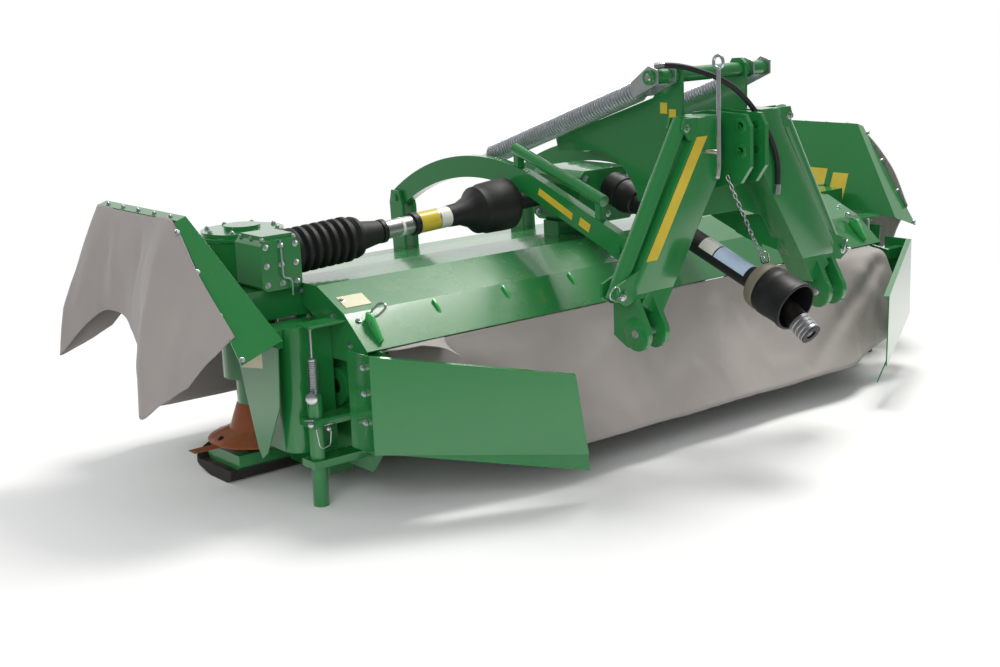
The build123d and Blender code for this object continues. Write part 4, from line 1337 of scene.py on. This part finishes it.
# ================================================================== headstock
@dataclass
class Headstock:
    """Relief springs, lever, hose, chain, pins and blank films round the hitch."""

    spring_top: Point = (225, 222, 1212)
    spring_end: Point = (225, 1012, 951)
    lever: Pair = (-165, -60)
    wire: float = 4.6
    helix: float = 32.0
    turns: int = 58
    hose: tuple[Point, ...] = (
        (-240, 140, 1288.3), (-205, 96, 1297), (-116, -14, 1251), (0, -16, 1186), (120, -15, 1060),
        (178, -14, 938), (168, -9.3, 850),
    )
    chain: tuple[Point, ...] = ((-63, -4, 924), (-32, -6, 862), (-2, -14, 800), (16, -38, 724), (30, -70, 660))

    def springs(self) -> None:
        """Close-wound relief springs on a core rod, with a plug at the rear and a plug and short stub at the front.
        """
        length = math.dist(self.spring_top, self.spring_end)
        heading = at(*self.spring_end) - at(*self.spring_top)
        model = Bench.coil(self.wire, self.helix, length - 2 * self.wire, self.turns)
        place = Bench.aim(at(*self.spring_top) + heading.normalized() * self.wire * MM, heading)
        wound = Bench.copies(model, [place])
        core = Bench.lathe(
            self.spring_top, self.spring_end,
            [(0, 14), (0.3, 30), (26, 30), (30, 12), (800, 12), (806, 30), (832, 30), (846, 16), (866, 15.5),
             (867, 10)], 24,
        )
        piece = Bench.both(Bench.join((wound, core)))
        Bench.finish(piece, "relief_spring_coils", ZINC, SMOOTH)
        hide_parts("relief_springs")

    def spring_ends(self) -> None:
        """Nuts and washers on the spring screws, and the crank on the left one."""
        length = math.dist(self.spring_top, self.spring_end)
        way = (at(*self.spring_top) - at(*self.spring_end)).normalized()
        root = at(*self.spring_top) + way * 7.0 * MM
        nuts = Bench.copies(Hardware.bolt(19.0, 12.0), [Bench.aim(root, way, 10.0)])
        pins = Bench.copies(
            Bench.turned([(0, 11), (6, 13), (9, 13), (12, 10)], 20),
            [Bench.aim(at(self.spring_top[0] + 43 * side, 140, 1255), Vector((side, 0, 0))) for side in (1, -1)],
        )
        piece = Bench.both(Bench.join((nuts, pins)))
        tip = root + way * 0.05 * length * MM
        x, y, z = tip.x / MM, tip.y / MM - HITCH_Y, tip.z / MM
        model = Bench.bent_rod(
            [(x, y + 14, z - 5), (x, y - 6, z + 2), (x - 50, y - 6, z + 2), (x - 50, y - 44, z + 14)], 5, 9
        )
        crank = Bench.across(model)
        bpy.data.objects.remove(model)
        Bench.finish(Bench.join((piece, crank)), "spring_screw_nuts", BRIGHT)

    def lever_rod(self) -> None:
        """Pull lever of bent round bar with an eye at its top."""
        x, y = self.lever
        rod = Bench.bent_rod([(x, y, 1281), (x, y, 976), (x - 25, y - 18, 944)], 7, 24, 14)
        eye = Bench.copies(Bench.loop(20, 5.4, 0.0, 28), [
            Matrix.Translation(at(x, y, 1301)) @ Matrix.Rotation(math.pi / 2, 4, "Y")
        ])
        stay = Bench.lathe((x, y, 1020), (x, 0, 1020), [(0, 6), (1, 7), (59.6, 7), (60, 5)], 14)
        piece = Bench.join((rod, eye, stay))
        Bench.finish(piece, "lever_bar", ZINC, SMOOTH)
        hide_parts("lever")

    def hydraulic_hose(self) -> None:
        """Rubber hose on its own smooth line."""
        curve = bpy.data.curves.new("hydraulic_hose", "CURVE")
        curve.dimensions = "3D"
        spline = curve.splines.new("NURBS")
        spline.points.add(len(self.hose) - 1)
        for point, place in zip(spline.points, self.hose):
            point.co = (*at(*place), 1.0)
        spline.order_u = 3
        spline.use_endpoint_u = True
        curve.resolution_u = 12
        curve.bevel_depth = 9 * MM
        curve.bevel_resolution = 4
        curve.use_fill_caps = True
        piece = linked("hydraulic_hose", curve)
        curve.materials.append(BLACK_RUBBER.material())
        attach(piece, CHASSIS)
        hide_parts("hose")
        fittings = Bench.join((
            Bench.lathe(self.hose[0], self.hose[1], [(-4, 7), (-4, 11), (26, 11), (30, 9.6)], 6),
            Bench.lathe(self.hose[-1], (170, -11, 880), [(-6, 8), (-6, 11.5), (24, 11.5), (28, 9.6)], 20),
        ))
        Bench.finish(fittings, "hose_fittings", BRIGHT)

    def holding_chain(self) -> None:
        """Short-link chain from the mast down to the shaft guard's bell."""
        model = Bench.copies(Bench.loop(5.2, 1.9, 11.0, 14), [Matrix.Translation((-5.5 * MM, 0, 0))])
        places: list[Matrix] = []
        spots = [at(*p) for p in self.chain] + [at(28, -92, 632)]
        step, left, turn = 17.0 * MM, 0.0, 0
        for a, b in zip(spots, spots[1:]):
            run = b - a
            while left < run.length:
                spot = a + run.normalized() * left
                tilt = run.to_track_quat("X", "Y").to_matrix().to_4x4()
                quarter = Matrix.Rotation(math.radians(90 * (turn % 2) + 12), 4, "X")
                places.append(Matrix.Translation(spot) @ tilt @ quarter)
                left += step
                turn += 1
            left -= run.length
        links = Bench.copies(model, places)
        ring = Bench.copies(Bench.loop(13, 2.8, 20, 24), [
            Bench.aim(at(25, -84, 650), Vector((0.6, 0.6, 0.4)), 80.0)
        ])
        Bench.finish(Bench.join((links, ring)), "guard_chain", BRIGHT, 60)

    def hitch_pins(self) -> None:
        """Linchpins on the feet of the side struts."""
        clips = Bench.copies(Hardware.linchpin(), [
            Bench.aim(at(side * 552, 4, 604), Vector((side * 0.25, -1, 0.1)), 40.0) for side in (1, -1)
        ])
        Bench.finish(clips, "strut_linchpins", BRIGHT, SMOOTH)

    def bolts(self) -> None:
        """Bolts through lugs, legs and the mast plate."""
        Hardware.rows("headstock_bolts", {
            (0, -1, 0): [(532, 2.7, 604), (244, 2.7, 1098)],
            (0, 1, 0): [(x, 110, z) for x, z in ((120, 1090), (120, 960), (190, 850), (210, 800))],
        }, 10.0, 7.0)

    def leg_boxes(self) -> None:
        """Wide box sections round the legs, closed up to the head of the mast."""
        outline: list[Point] = [
            (314, -0.6, 600), (474, -0.6, 600), (480, -0.6, 640), (206, -0.6, 1076), (196, -0.6, 1129),
            (100, -0.6, 1129), (100, -0.6, 935),
        ]
        Bench.finish(Bench.both(Bench.plate(outline, -100.9, 5)), "leg_boxes", GREEN)

    def lug_heads(self) -> None:
        """Round heads and bosses on the top-link lugs and the lower clevises."""
        bosses: list[Piece] = []
        inner: list[Pair] = [(-1.9, 13), (-1.9, 24), (0.4, 24), (0.4, 13), (-1.9, 12.9)]
        outer: list[Pair] = [(1.4, 13), (1.4, 26), (4.5, 26), (5.5, 24), (5.5, 13), (1.4, 12.9)]
        for x, way, stations in ((26, -10, inner), (42, 10, outer)):
            for z in (1090, 1010):
                bosses.append(Bench.lathe((x, -42, z), (x + way, -42, z), stations, 28))
        for x in (386, 462):
            bosses.append(Bench.lathe((x, 0, 478), (x + 22, 0, 478), [(0, 52), (3, 57), (19, 57), (22, 52)], 40))
        Bench.finish(Bench.both(Bench.join(bosses)), "hitch_bosses", GREEN)
        pin = Bench.lathe((380, 0, 478), (489, 0, 478), [(0, 10), (2, 13.8), (107, 13.8), (109, 10)], 24)
        Bench.finish(Bench.both(pin), "lower_hitch_pins", ZINC)

    def blank_films(self) -> None:
        """Blank yellow films on the left leg, the mast cheek and the left arm."""
        films = [Bench.film([(-434, -1.8, 700), (-386, -1.8, 700), (-155, -1.8, 1068), (-203, -1.8, 1068)])]
        for corners in (
            ((640, 868), (470, 796), (476, 772), (650, 846)), ((430, 786), (380, 765), (392, 738), (442, 760)),
        ):
            films.append(Bench.film([(-319, y, z) for y, z in corners]))
        for y, z in ((190, 1130), (150, 1110)):
            corners = ((y + 16, z), (y - 16, z), (y - 16, z + 36), (y + 16, z + 36))
            films.append(Bench.film([(-157, y, z) for y, z in corners]))
        Bench.finish(Bench.join(films), "blank_yellow_films", YELLOW_FILM)

    def build(self) -> None:
        """The whole headstock."""
        self.hydraulic_hose()
        self.springs()
        self.spring_ends()
        self.lever_rod()
        self.holding_chain()
        self.hitch_pins()
        self.bolts()
        self.leg_boxes()
        self.lug_heads()
        self.blank_films()


# ================================================================== hood, guards, jacks and cutting parts
@dataclass
class BodyTrim:
    """Bolts, eyes, tabs and blank films on the hood, the guards and the side drive."""

    lean: float = 0.3431        # guard's lean out of the upright, radians
    hinge: Pair = (1467, 545)

    def on_guard(self, out: float, y: float, up: float) -> Point:
        """Place off the right guard's panel: out from it, forward and up the panel.

        Args:
            out: distance out of the panel.
            y: distance forward.
            up: distance up the panel.

        Returns:
            The place.
        """
        x, z = self.hinge
        c, s = math.cos(self.lean), math.sin(self.lean)
        return (x + out * c + up * s, y, z - out * s + up * c)

    def hood_bolts(self) -> None:
        """Bolts on the hood's end plates and along its rear lip."""
        ends = ((735, 640), (700, 560), (648, 520), (560, 580), (470, 500), (430, 462))
        Hardware.rows("hood_bolts", {
            (1, 0, 0): [(1240, y, z) for y, z in ends] + [(1300.5, 315, z) for z in (300, 390, 470)],
            (0, -0.4, 1): [(1205, 560, 625.355), (1205, 470, 575)],
        }, 8.0, 5.0)

    def hood_eyes(self) -> None:
        """Lifting shackle on each rear corner of the hood, and the small tabs on its slope."""
        shackles = Bench.join((
            Bench.copies(Bench.loop(19, 4.2, 14, 24), [
                Bench.aim(at(side * 1148, 452, 596), Vector((side * 0.7, -0.2, 0.7)), 60.0) for side in (-1, 1)
            ]),
            Hardware.bolts([((side * 1176, 436, 563), (0, -0.55, 0.83)) for side in (-1, 1)], 9, 7),
        ))
        Bench.finish(shackles, "hood_shackles", BRIGHT, SMOOTH)
        bars = [
            Bench.plate([(x, 470, 574), (x, 396, 508), (x, 384, 520), (x, 430, 590), (x, 462, 598)], 10)
            for x in (-1172, 1162)
        ]
        for x in (-905, -620, -330, 40, 330, 620, 905):
            bars.append(Bench.plate([(x, 486, 587), (x, 446, 553), (x, 452, 568), (x, 480, 594)], 8))
        # The tabs and corner bars take the lighter green enamel, a painted highlight rather than a paint of their
        # own.
        Bench.finish(Bench.join(bars), "hood_tabs", GREEN_PAINTED_HIGHLIGHT)

    def guard_bolts(self) -> None:
        """Bolts down the rear wing and along the top bar of each guard."""
        for side, sign in SIDES:
            spots: list[Spot] = []
            for share in (0.06, 0.36, 0.66, 0.94):
                x, y, z = self.on_guard(144 - 96 * share, 468.5 + 310 * share, 395 * share)
                spots.append(((sign * x, y, z), (0, -0.79, 0.61)))
            for y in (850, 960, 1070, 1180, 1290):
                x, _, z = self.on_guard(16, y, 395.4)
                spots.append(((sign * x, y, z), (sign * 0.34, 0, 0.94)))
            Bench.finish(Hardware.bolts(spots, 7.0, 4.0), f"guard_bolts_{side}", ZINC, body=f"guard_{side}")

    def guard_films(self) -> None:
        """Blank yellow films on the right guard's inner face."""
        films = []
        for y0, y1, low, high in ((885, 990, 62, 190), (768, 850, 62, 176)):
            corners = [self.on_guard(-2.2, y, up) for y, up in ((y1, low), (y0, low), (y0, high), (y1, high))]
            films.append(Bench.film(corners[::-1]))
        Bench.finish(Bench.join(films), "guard_blank_films", YELLOW_FILM, body="guard_right")

    def guard_latch(self) -> None:
        """Round latch bar and its hook on the right guard's inner face."""
        bar = Bench.bent_rod([self.on_guard(-14, 868, 112), self.on_guard(-14, 985, 92)], 9, 20)
        Bench.finish(bar, "guard_latch_bar", GREEN, SMOOTH, body="guard_right")
        hook = Bench.bent_rod([
            self.on_guard(-14, 975, 94), self.on_guard(-14, 1040, 84), self.on_guard(-14, 1052, 70),
        ], 6, 10)
        Bench.finish(hook, "guard_latch_hook", ZINC, SMOOTH, body="guard_right")

    def side_drive(self) -> None:
        """Bolts of the left side gearcase and of the drive housing, and a fine grease pipe."""
        ring = [math.radians(turn) for turn in range(0, 360, 45)]
        Hardware.rows("side_drive_bolts", {
            (0, 0, 1): [(x, y, 818) for y in (716, 780, 843) for x in (-1382, -1271)]
            + [(-1290 + 118 * math.cos(a), 1000 + 118 * math.sin(a), 818) for a in ring],
            (0, -1, 0): [(x, 700, z) for x in (-1380, -1327, -1274) for z in (680, 740, 800)],
        }, 8.0, 6.0, both=False)
        lip = Bench.lathe(
            (-1290, 1000, 560), (-1290, 1000, 900),
            [(232, 128), (232, 141), (234, 143), (242, 143), (244, 141), (244, 128)], 48,
        )
        Bench.finish(lip, "shroud_lip", GREEN)
        pipe = Bench.bent_rod([(-1330, 694, 818), (-1330, 688, 700), (-1300, 688, 690), (-1300, 688, 640)], 3.5, 14)
        Bench.finish(pipe, "grease_pipe", ZINC, SMOOTH)

    def centre_bolts(self) -> None:
        """Bolts round the centre gearcase's faces."""
        Hardware.rows("centre_gearcase_bolts", {
            (0, -1, 0): [(x, 640, z) for x, z in ((-104, 740), (104, 740), (-104, 878), (104, 878), (0, 740))],
            (-1, 0, 0): [(-130, y, z) for z in (742, 870) for y in (670, 870)],
        }, 9.0, 7.0, both=False)

    def films(self) -> None:
        """Blank pale films on the hood's corner and the side divider."""
        hood = Bench.film([(-1215, 520, 607.5), (-1120, 520, 607.5), (-1120, 575, 633.2), (-1215, 575, 633.2)])
        divider = Bench.film(
            [(-1454.4, 780, 500), (-1454.4, 640, 506), (-1454.4, 640, 440), (-1454.4, 776, 420)]
        )
        Bench.finish(Bench.join((hood, divider)), "blank_pale_films", CREAM_FILM)

    def build(self) -> None:
        """All trim."""
        self.hood_bolts()
        self.hood_eyes()
        self.guard_bolts()
        self.guard_films()
        self.guard_latch()
        self.side_drive()
        self.centre_bolts()
        self.films()


@dataclass
class Jacks:
    """Springs, pins and lanyards of the parking jacks."""

    x: float = 1348
    y: float = 523
    foot: float = 360.3
    hook: float = 571.6
    travel: float = 120

    def spring(self, sign: int) -> Piece:
        """Return spring with its hooked rod, on one side.

        Args:
            sign: 1 for the right side, -1 for the left.

        Returns:
            The piece.
        """
        x, y = sign * self.x, self.y
        wound = Bench.copies(Bench.coil(2.6, 14.2, 96, 17), [Bench.aim(at(x, y, 368), Vector((0, 0, 1)))])
        caps = Bench.lathe(
            (x, y, self.foot), (x, y, 600),
            [(0, 10), (0.2, 17), (5, 17), (8, 10), (100, 9), (104, 16.8), (109.7, 16.8), (113, 6)], 20,
        )
        hook = Bench.bent_rod([(x, y, 470), (x, y, 562), (x - sign * 12, y, 568)], 4.6, 7)
        return Bench.join((wound, caps, hook))

    def pins(self, sign: int) -> Piece:
        """Round-headed pin, lock pins and their lanyards, on one side.

        Args:
            sign: 1 for the right side, -1 for the left.

        Returns:
            The piece.
        """
        x, y = sign * self.x, self.y
        way = Vector((sign * 0.75, -0.66, 0))
        head = Bench.copies(
            Bench.turned([(0, 8), (27, 8), (27, 17), (29, 19), (33, 19), (35, 16), (36, 5)], 24),
            [Bench.aim(at(x, y, 352), way)],
        )
        lower = Bench.copies(Hardware.lanyard_pin(), [
            Bench.aim(at(x + sign * 26, y - 22, 275), way),
            Bench.aim(at(x - sign * 12, y - 36, 258), Vector((0, -1, 0))),
        ])
        cord = Bench.bent_rod(
            [(x + sign * out, y - back, z) for out, back, z in (
                (30, 48, 262), (22, 52, 196), (-12, 56, 206), (-16, 58, 250),
            )], 1.8, 14, 8,
        )
        return Bench.join((head, lower, cord))

    def build(self) -> None:
        """Both jacks."""
        for side, sign in SIDES:
            spring = Bench.finish(self.spring(sign), f"jack_coil_{side}", ZINC, SMOOTH)
            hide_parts(f"jack_spring_{side}")
            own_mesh(spring)
            Bench.finish(self.pins(sign), f"jack_pins_{side}", BRIGHT, SMOOTH)


@dataclass
class Cutting:
    """Knife bolts and central nuts of the discs."""

    count: int = 7
    pitch: float = 430
    y: float = 1000
    knife_r: float = 138
    knife_z: float = 129
    cap_r: float = 46
    cap_z: float = 152

    def build(self) -> None:
        """Fixings of every disc, each set riding its own disc; the end discs' caps hide their nuts."""
        for index in range(self.count):
            x = (index - (self.count - 1) / 2) * self.pitch
            quarter = math.pi / 2 * (index % 2)
            rings = [(self.knife_r, 2, quarter, self.knife_z)]
            if 0 < index < self.count - 1:
                rings += [(0, 1, 0, self.cap_z), (self.cap_r, 4, quarter + math.pi / 4, self.cap_z)]
            spots: list[Spot] = []
            for radius, count, start, z in rings:
                for turn in range(count):
                    a = start + turn * math.tau / count
                    spots.append(((x + radius * math.cos(a), self.y + radius * math.sin(a), z), (0, 0, 1)))
            Bench.finish(
                Hardware.bolts(spots), f"disc_fixings_{index + 1}", DARK_STEEL, body=f"disc_{index + 1}"
            )


# ================================================================== CAD nodes that are carried over
@dataclass
class CarriedNodes:
    """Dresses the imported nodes, and rounds the edges of rigid ones in merged copies."""

    edge: float = 1.6
    plain: tuple[str, ...] = ("skids",)
    fold_angle: float = 14.0
    rounded: tuple[Slot, ...] = (Slot.PAINT, Slot.ROTOR, Slot.FORGED, Slot.ZINC)

    def body_of(self, node: str) -> str:
        """Body that holds a node."""
        bodies = frame["record"]["behaviour"]["bodies"]
        return next(name for name, nodes in bodies.items() if node in nodes)

    def soften(self, node: str, finish: Finish) -> None:
        """Make a copy of a node with merged corners and rounded edges, standing for it.

        Args:
            node: CAD node.
            finish: look of the copy.
        """
        copy = linked("soft_" + node, frame["nodes"][node].data.copy())
        Bench.edit(copy)
        bpy.ops.mesh.remove_doubles(threshold=0.00002)
        bpy.ops.mesh.dissolve_limited(angle_limit=math.radians(0.6))
        bpy.ops.object.mode_set(mode="OBJECT")
        Bench.apply(
            copy, "BEVEL", width=self.edge * MM, segments=2, limit_method="ANGLE",
            angle_limit=math.radians(38), use_clamp_overlap=True,
        )
        Bench.finish(copy, "soft_" + node, finish, self.fold_angle, self.body_of(node))
        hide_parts(node)

    def build(self, kept: Iterable[str]) -> None:
        """Dress every node that no other class replaces.

        Args:
            kept: nodes that other classes replace.
        """
        slots = {p["node"]: Slot(p["material_slot"]) for p in frame["record"]["subparts"]}
        for node, slot in sorted(slots.items()):
            if node in kept:
                continue
            if slot in self.rounded and node not in self.plain:
                self.soften(node, NODE_FINISH[slot])
            else:
                obj, material = frame["nodes"][node], NODE_FINISH[slot].material()
                for place in obj.material_slots:
                    place.material = material
                if not obj.material_slots:
                    obj.data.materials.append(material)
            log.info("carried %s", node)


# ================================================================== studio
@dataclass(frozen=True)
class Softbox:
    """A square lamp: its place and aim in metres, its side, power and colour."""

    name: str
    place: Point
    aim: Point
    size: float
    watts: float
    tint: Colour


@dataclass
class Studio:
    """Pale floor, soft lamps and the camera."""

    floor_size: float = 60.0
    eye: Point = (-3.675, -3.346, 1.566)
    yaw: float = 51.626
    pitch: float = 13.069
    roll: float = -2.278
    lens: float = 54.322
    floor_colour: Colour = (0.93, 0.93, 0.93)
    fade: Pair = (1.9, 3.6)
    ambient: float = 0.46
    far_side: Point = (0.62, 0.78, 0.05)
    far_edge: Pair = (0.1, 0.95)
    sky_low: float = 0.2
    sky_rise: float = 0.72
    boxes: tuple[Softbox, ...] = (
        Softbox("key", (2.6, 0.6, 6.2), (0.2, 0, 0.4), 2.4, 340.0, (1.0, 0.98, 0.94)),
        Softbox("fill", (-5.2, -4.2, 3.4), (0, 0, 0.5), 4.0, 170.0, (0.97, 0.99, 1.0)),
        Softbox("back", (-2.5, 5.0, 3.8), (0, 0.4, 0.6), 3.0, 90.0, (1.0, 1.0, 1.0)),
    )

    def floor(self) -> None:
        """Large plain floor that fades out round the machine and keeps its shadow."""
        Bench.clear()
        bpy.ops.mesh.primitive_plane_add(size=self.floor_size, location=(0, 0, 0))
        plane = bpy.context.active_object
        plane.name = "studio_floor"
        m = MaterialWriter("Studio floor")
        speckle = m.effect(Effect.DRIFT, Colour=self.floor_colour, Scale=0.8, Amount=0.012)
        far = m.add("VectorMath", {0: m.place}, operation="LENGTH").outputs["Value"]
        solid = m.math("SUBTRACT", 1.0, m.ramp(far, *self.fade))
        material = m.surface(Base_Color=speckle.outputs["Colour"], Roughness=0.9, Alpha=solid)
        material.blend_method = "HASHED"
        plane.data.materials.append(material)
        Bench.clear()

    def world(self) -> None:
        """Surroundings: white to the camera, and to reflections bright only on the machine's far side."""
        world = bpy.data.worlds.new("Studio")
        world.use_nodes = True
        bpy.context.scene.world = world
        w = NodeWriter(world.node_tree)
        background = world.node_tree.nodes["Background"]
        path = w.add("LightPath").outputs
        way = w.add("TexCoord").outputs["Generated"]
        behind = w.add("VectorMath", {0: way, 1: self.far_side}, operation="DOT_PRODUCT").outputs["Value"]
        sky = w.math("ADD", self.sky_low, w.math("MULTIPLY", w.ramp(behind, *self.far_edge), self.sky_rise))
        change = w.math("SUBTRACT", sky, self.ambient)
        lit = w.math("ADD", self.ambient, w.math("MULTIPLY", path["Is Glossy Ray"], change))
        seen = w.math("MAXIMUM", path["Is Camera Ray"], path["Is Transmission Ray"])
        w.feed(background.inputs["Strength"], w.math("MAXIMUM", lit, seen))
        w.feed(background.inputs["Color"], (1.0, 1.0, 1.0))

    def lamp(self, box: Softbox) -> None:
        """Put up one softbox; the key alone shows in reflections.

        Args:
            box: the softbox to put up.
        """
        light = bpy.data.lights.new(box.name, "AREA")
        light.shape = "SQUARE"
        light.size = box.size
        light.energy = box.watts
        light.color = box.tint
        lamp = linked(box.name, light)
        lamp.location = box.place
        lamp.visible_glossy = box.name == "key"
        lamp.rotation_euler = (Vector(box.aim) - Vector(box.place)).to_track_quat("-Z", "Y").to_euler()

    def camera(self) -> None:
        """Camera at the standing place, turned by yaw, pitch and roll."""
        data = bpy.data.cameras.new("Camera")
        data.sensor_width = 36.0
        data.lens = self.lens
        data.clip_end = 200.0
        camera = linked("Camera", data)
        yaw, pitch, roll = (math.radians(a) for a in (self.yaw, self.pitch, self.roll))
        ahead = Vector((math.cos(pitch) * math.cos(yaw), math.cos(pitch) * math.sin(yaw), -math.sin(pitch)))
        level = Vector((math.sin(yaw), -math.cos(yaw), 0.0))
        upright = level.cross(ahead)
        right = level * math.cos(roll) + upright * math.sin(roll)
        up = upright * math.cos(roll) - level * math.sin(roll)
        turn = Matrix((right, up, -ahead)).transposed().to_4x4()
        x, y, z = self.eye
        camera.matrix_world = Matrix.Translation((x, y + HITCH_Y * MM, z)) @ turn
        bpy.context.scene.camera = camera

    def build(self) -> None:
        """Set the whole studio."""
        bpy.context.scene.view_settings.view_transform = "Standard"
        self.floor()
        self.world()
        self.camera()
        for box in self.boxes:
            self.lamp(box)


REPLACED = (
    "rear_curtain", "front_curtain", "skirt_left", "skirt_right", "cross_shaft_guard", "input_shaft_guard",
    "relief_springs", "lever", "hose", "jack_spring_left", "jack_spring_right",
)


def main() -> None:
    """Build every class in order."""
    logging.basicConfig(level=logging.INFO, format="%(name)s %(message)s")
    for part in (Studio, Headstock, Canvases, DriveLine, BodyTrim, Jacks, Cutting):
        part().build()
    CarriedNodes().build(REPLACED)


if __name__ == "__main__":
    main()
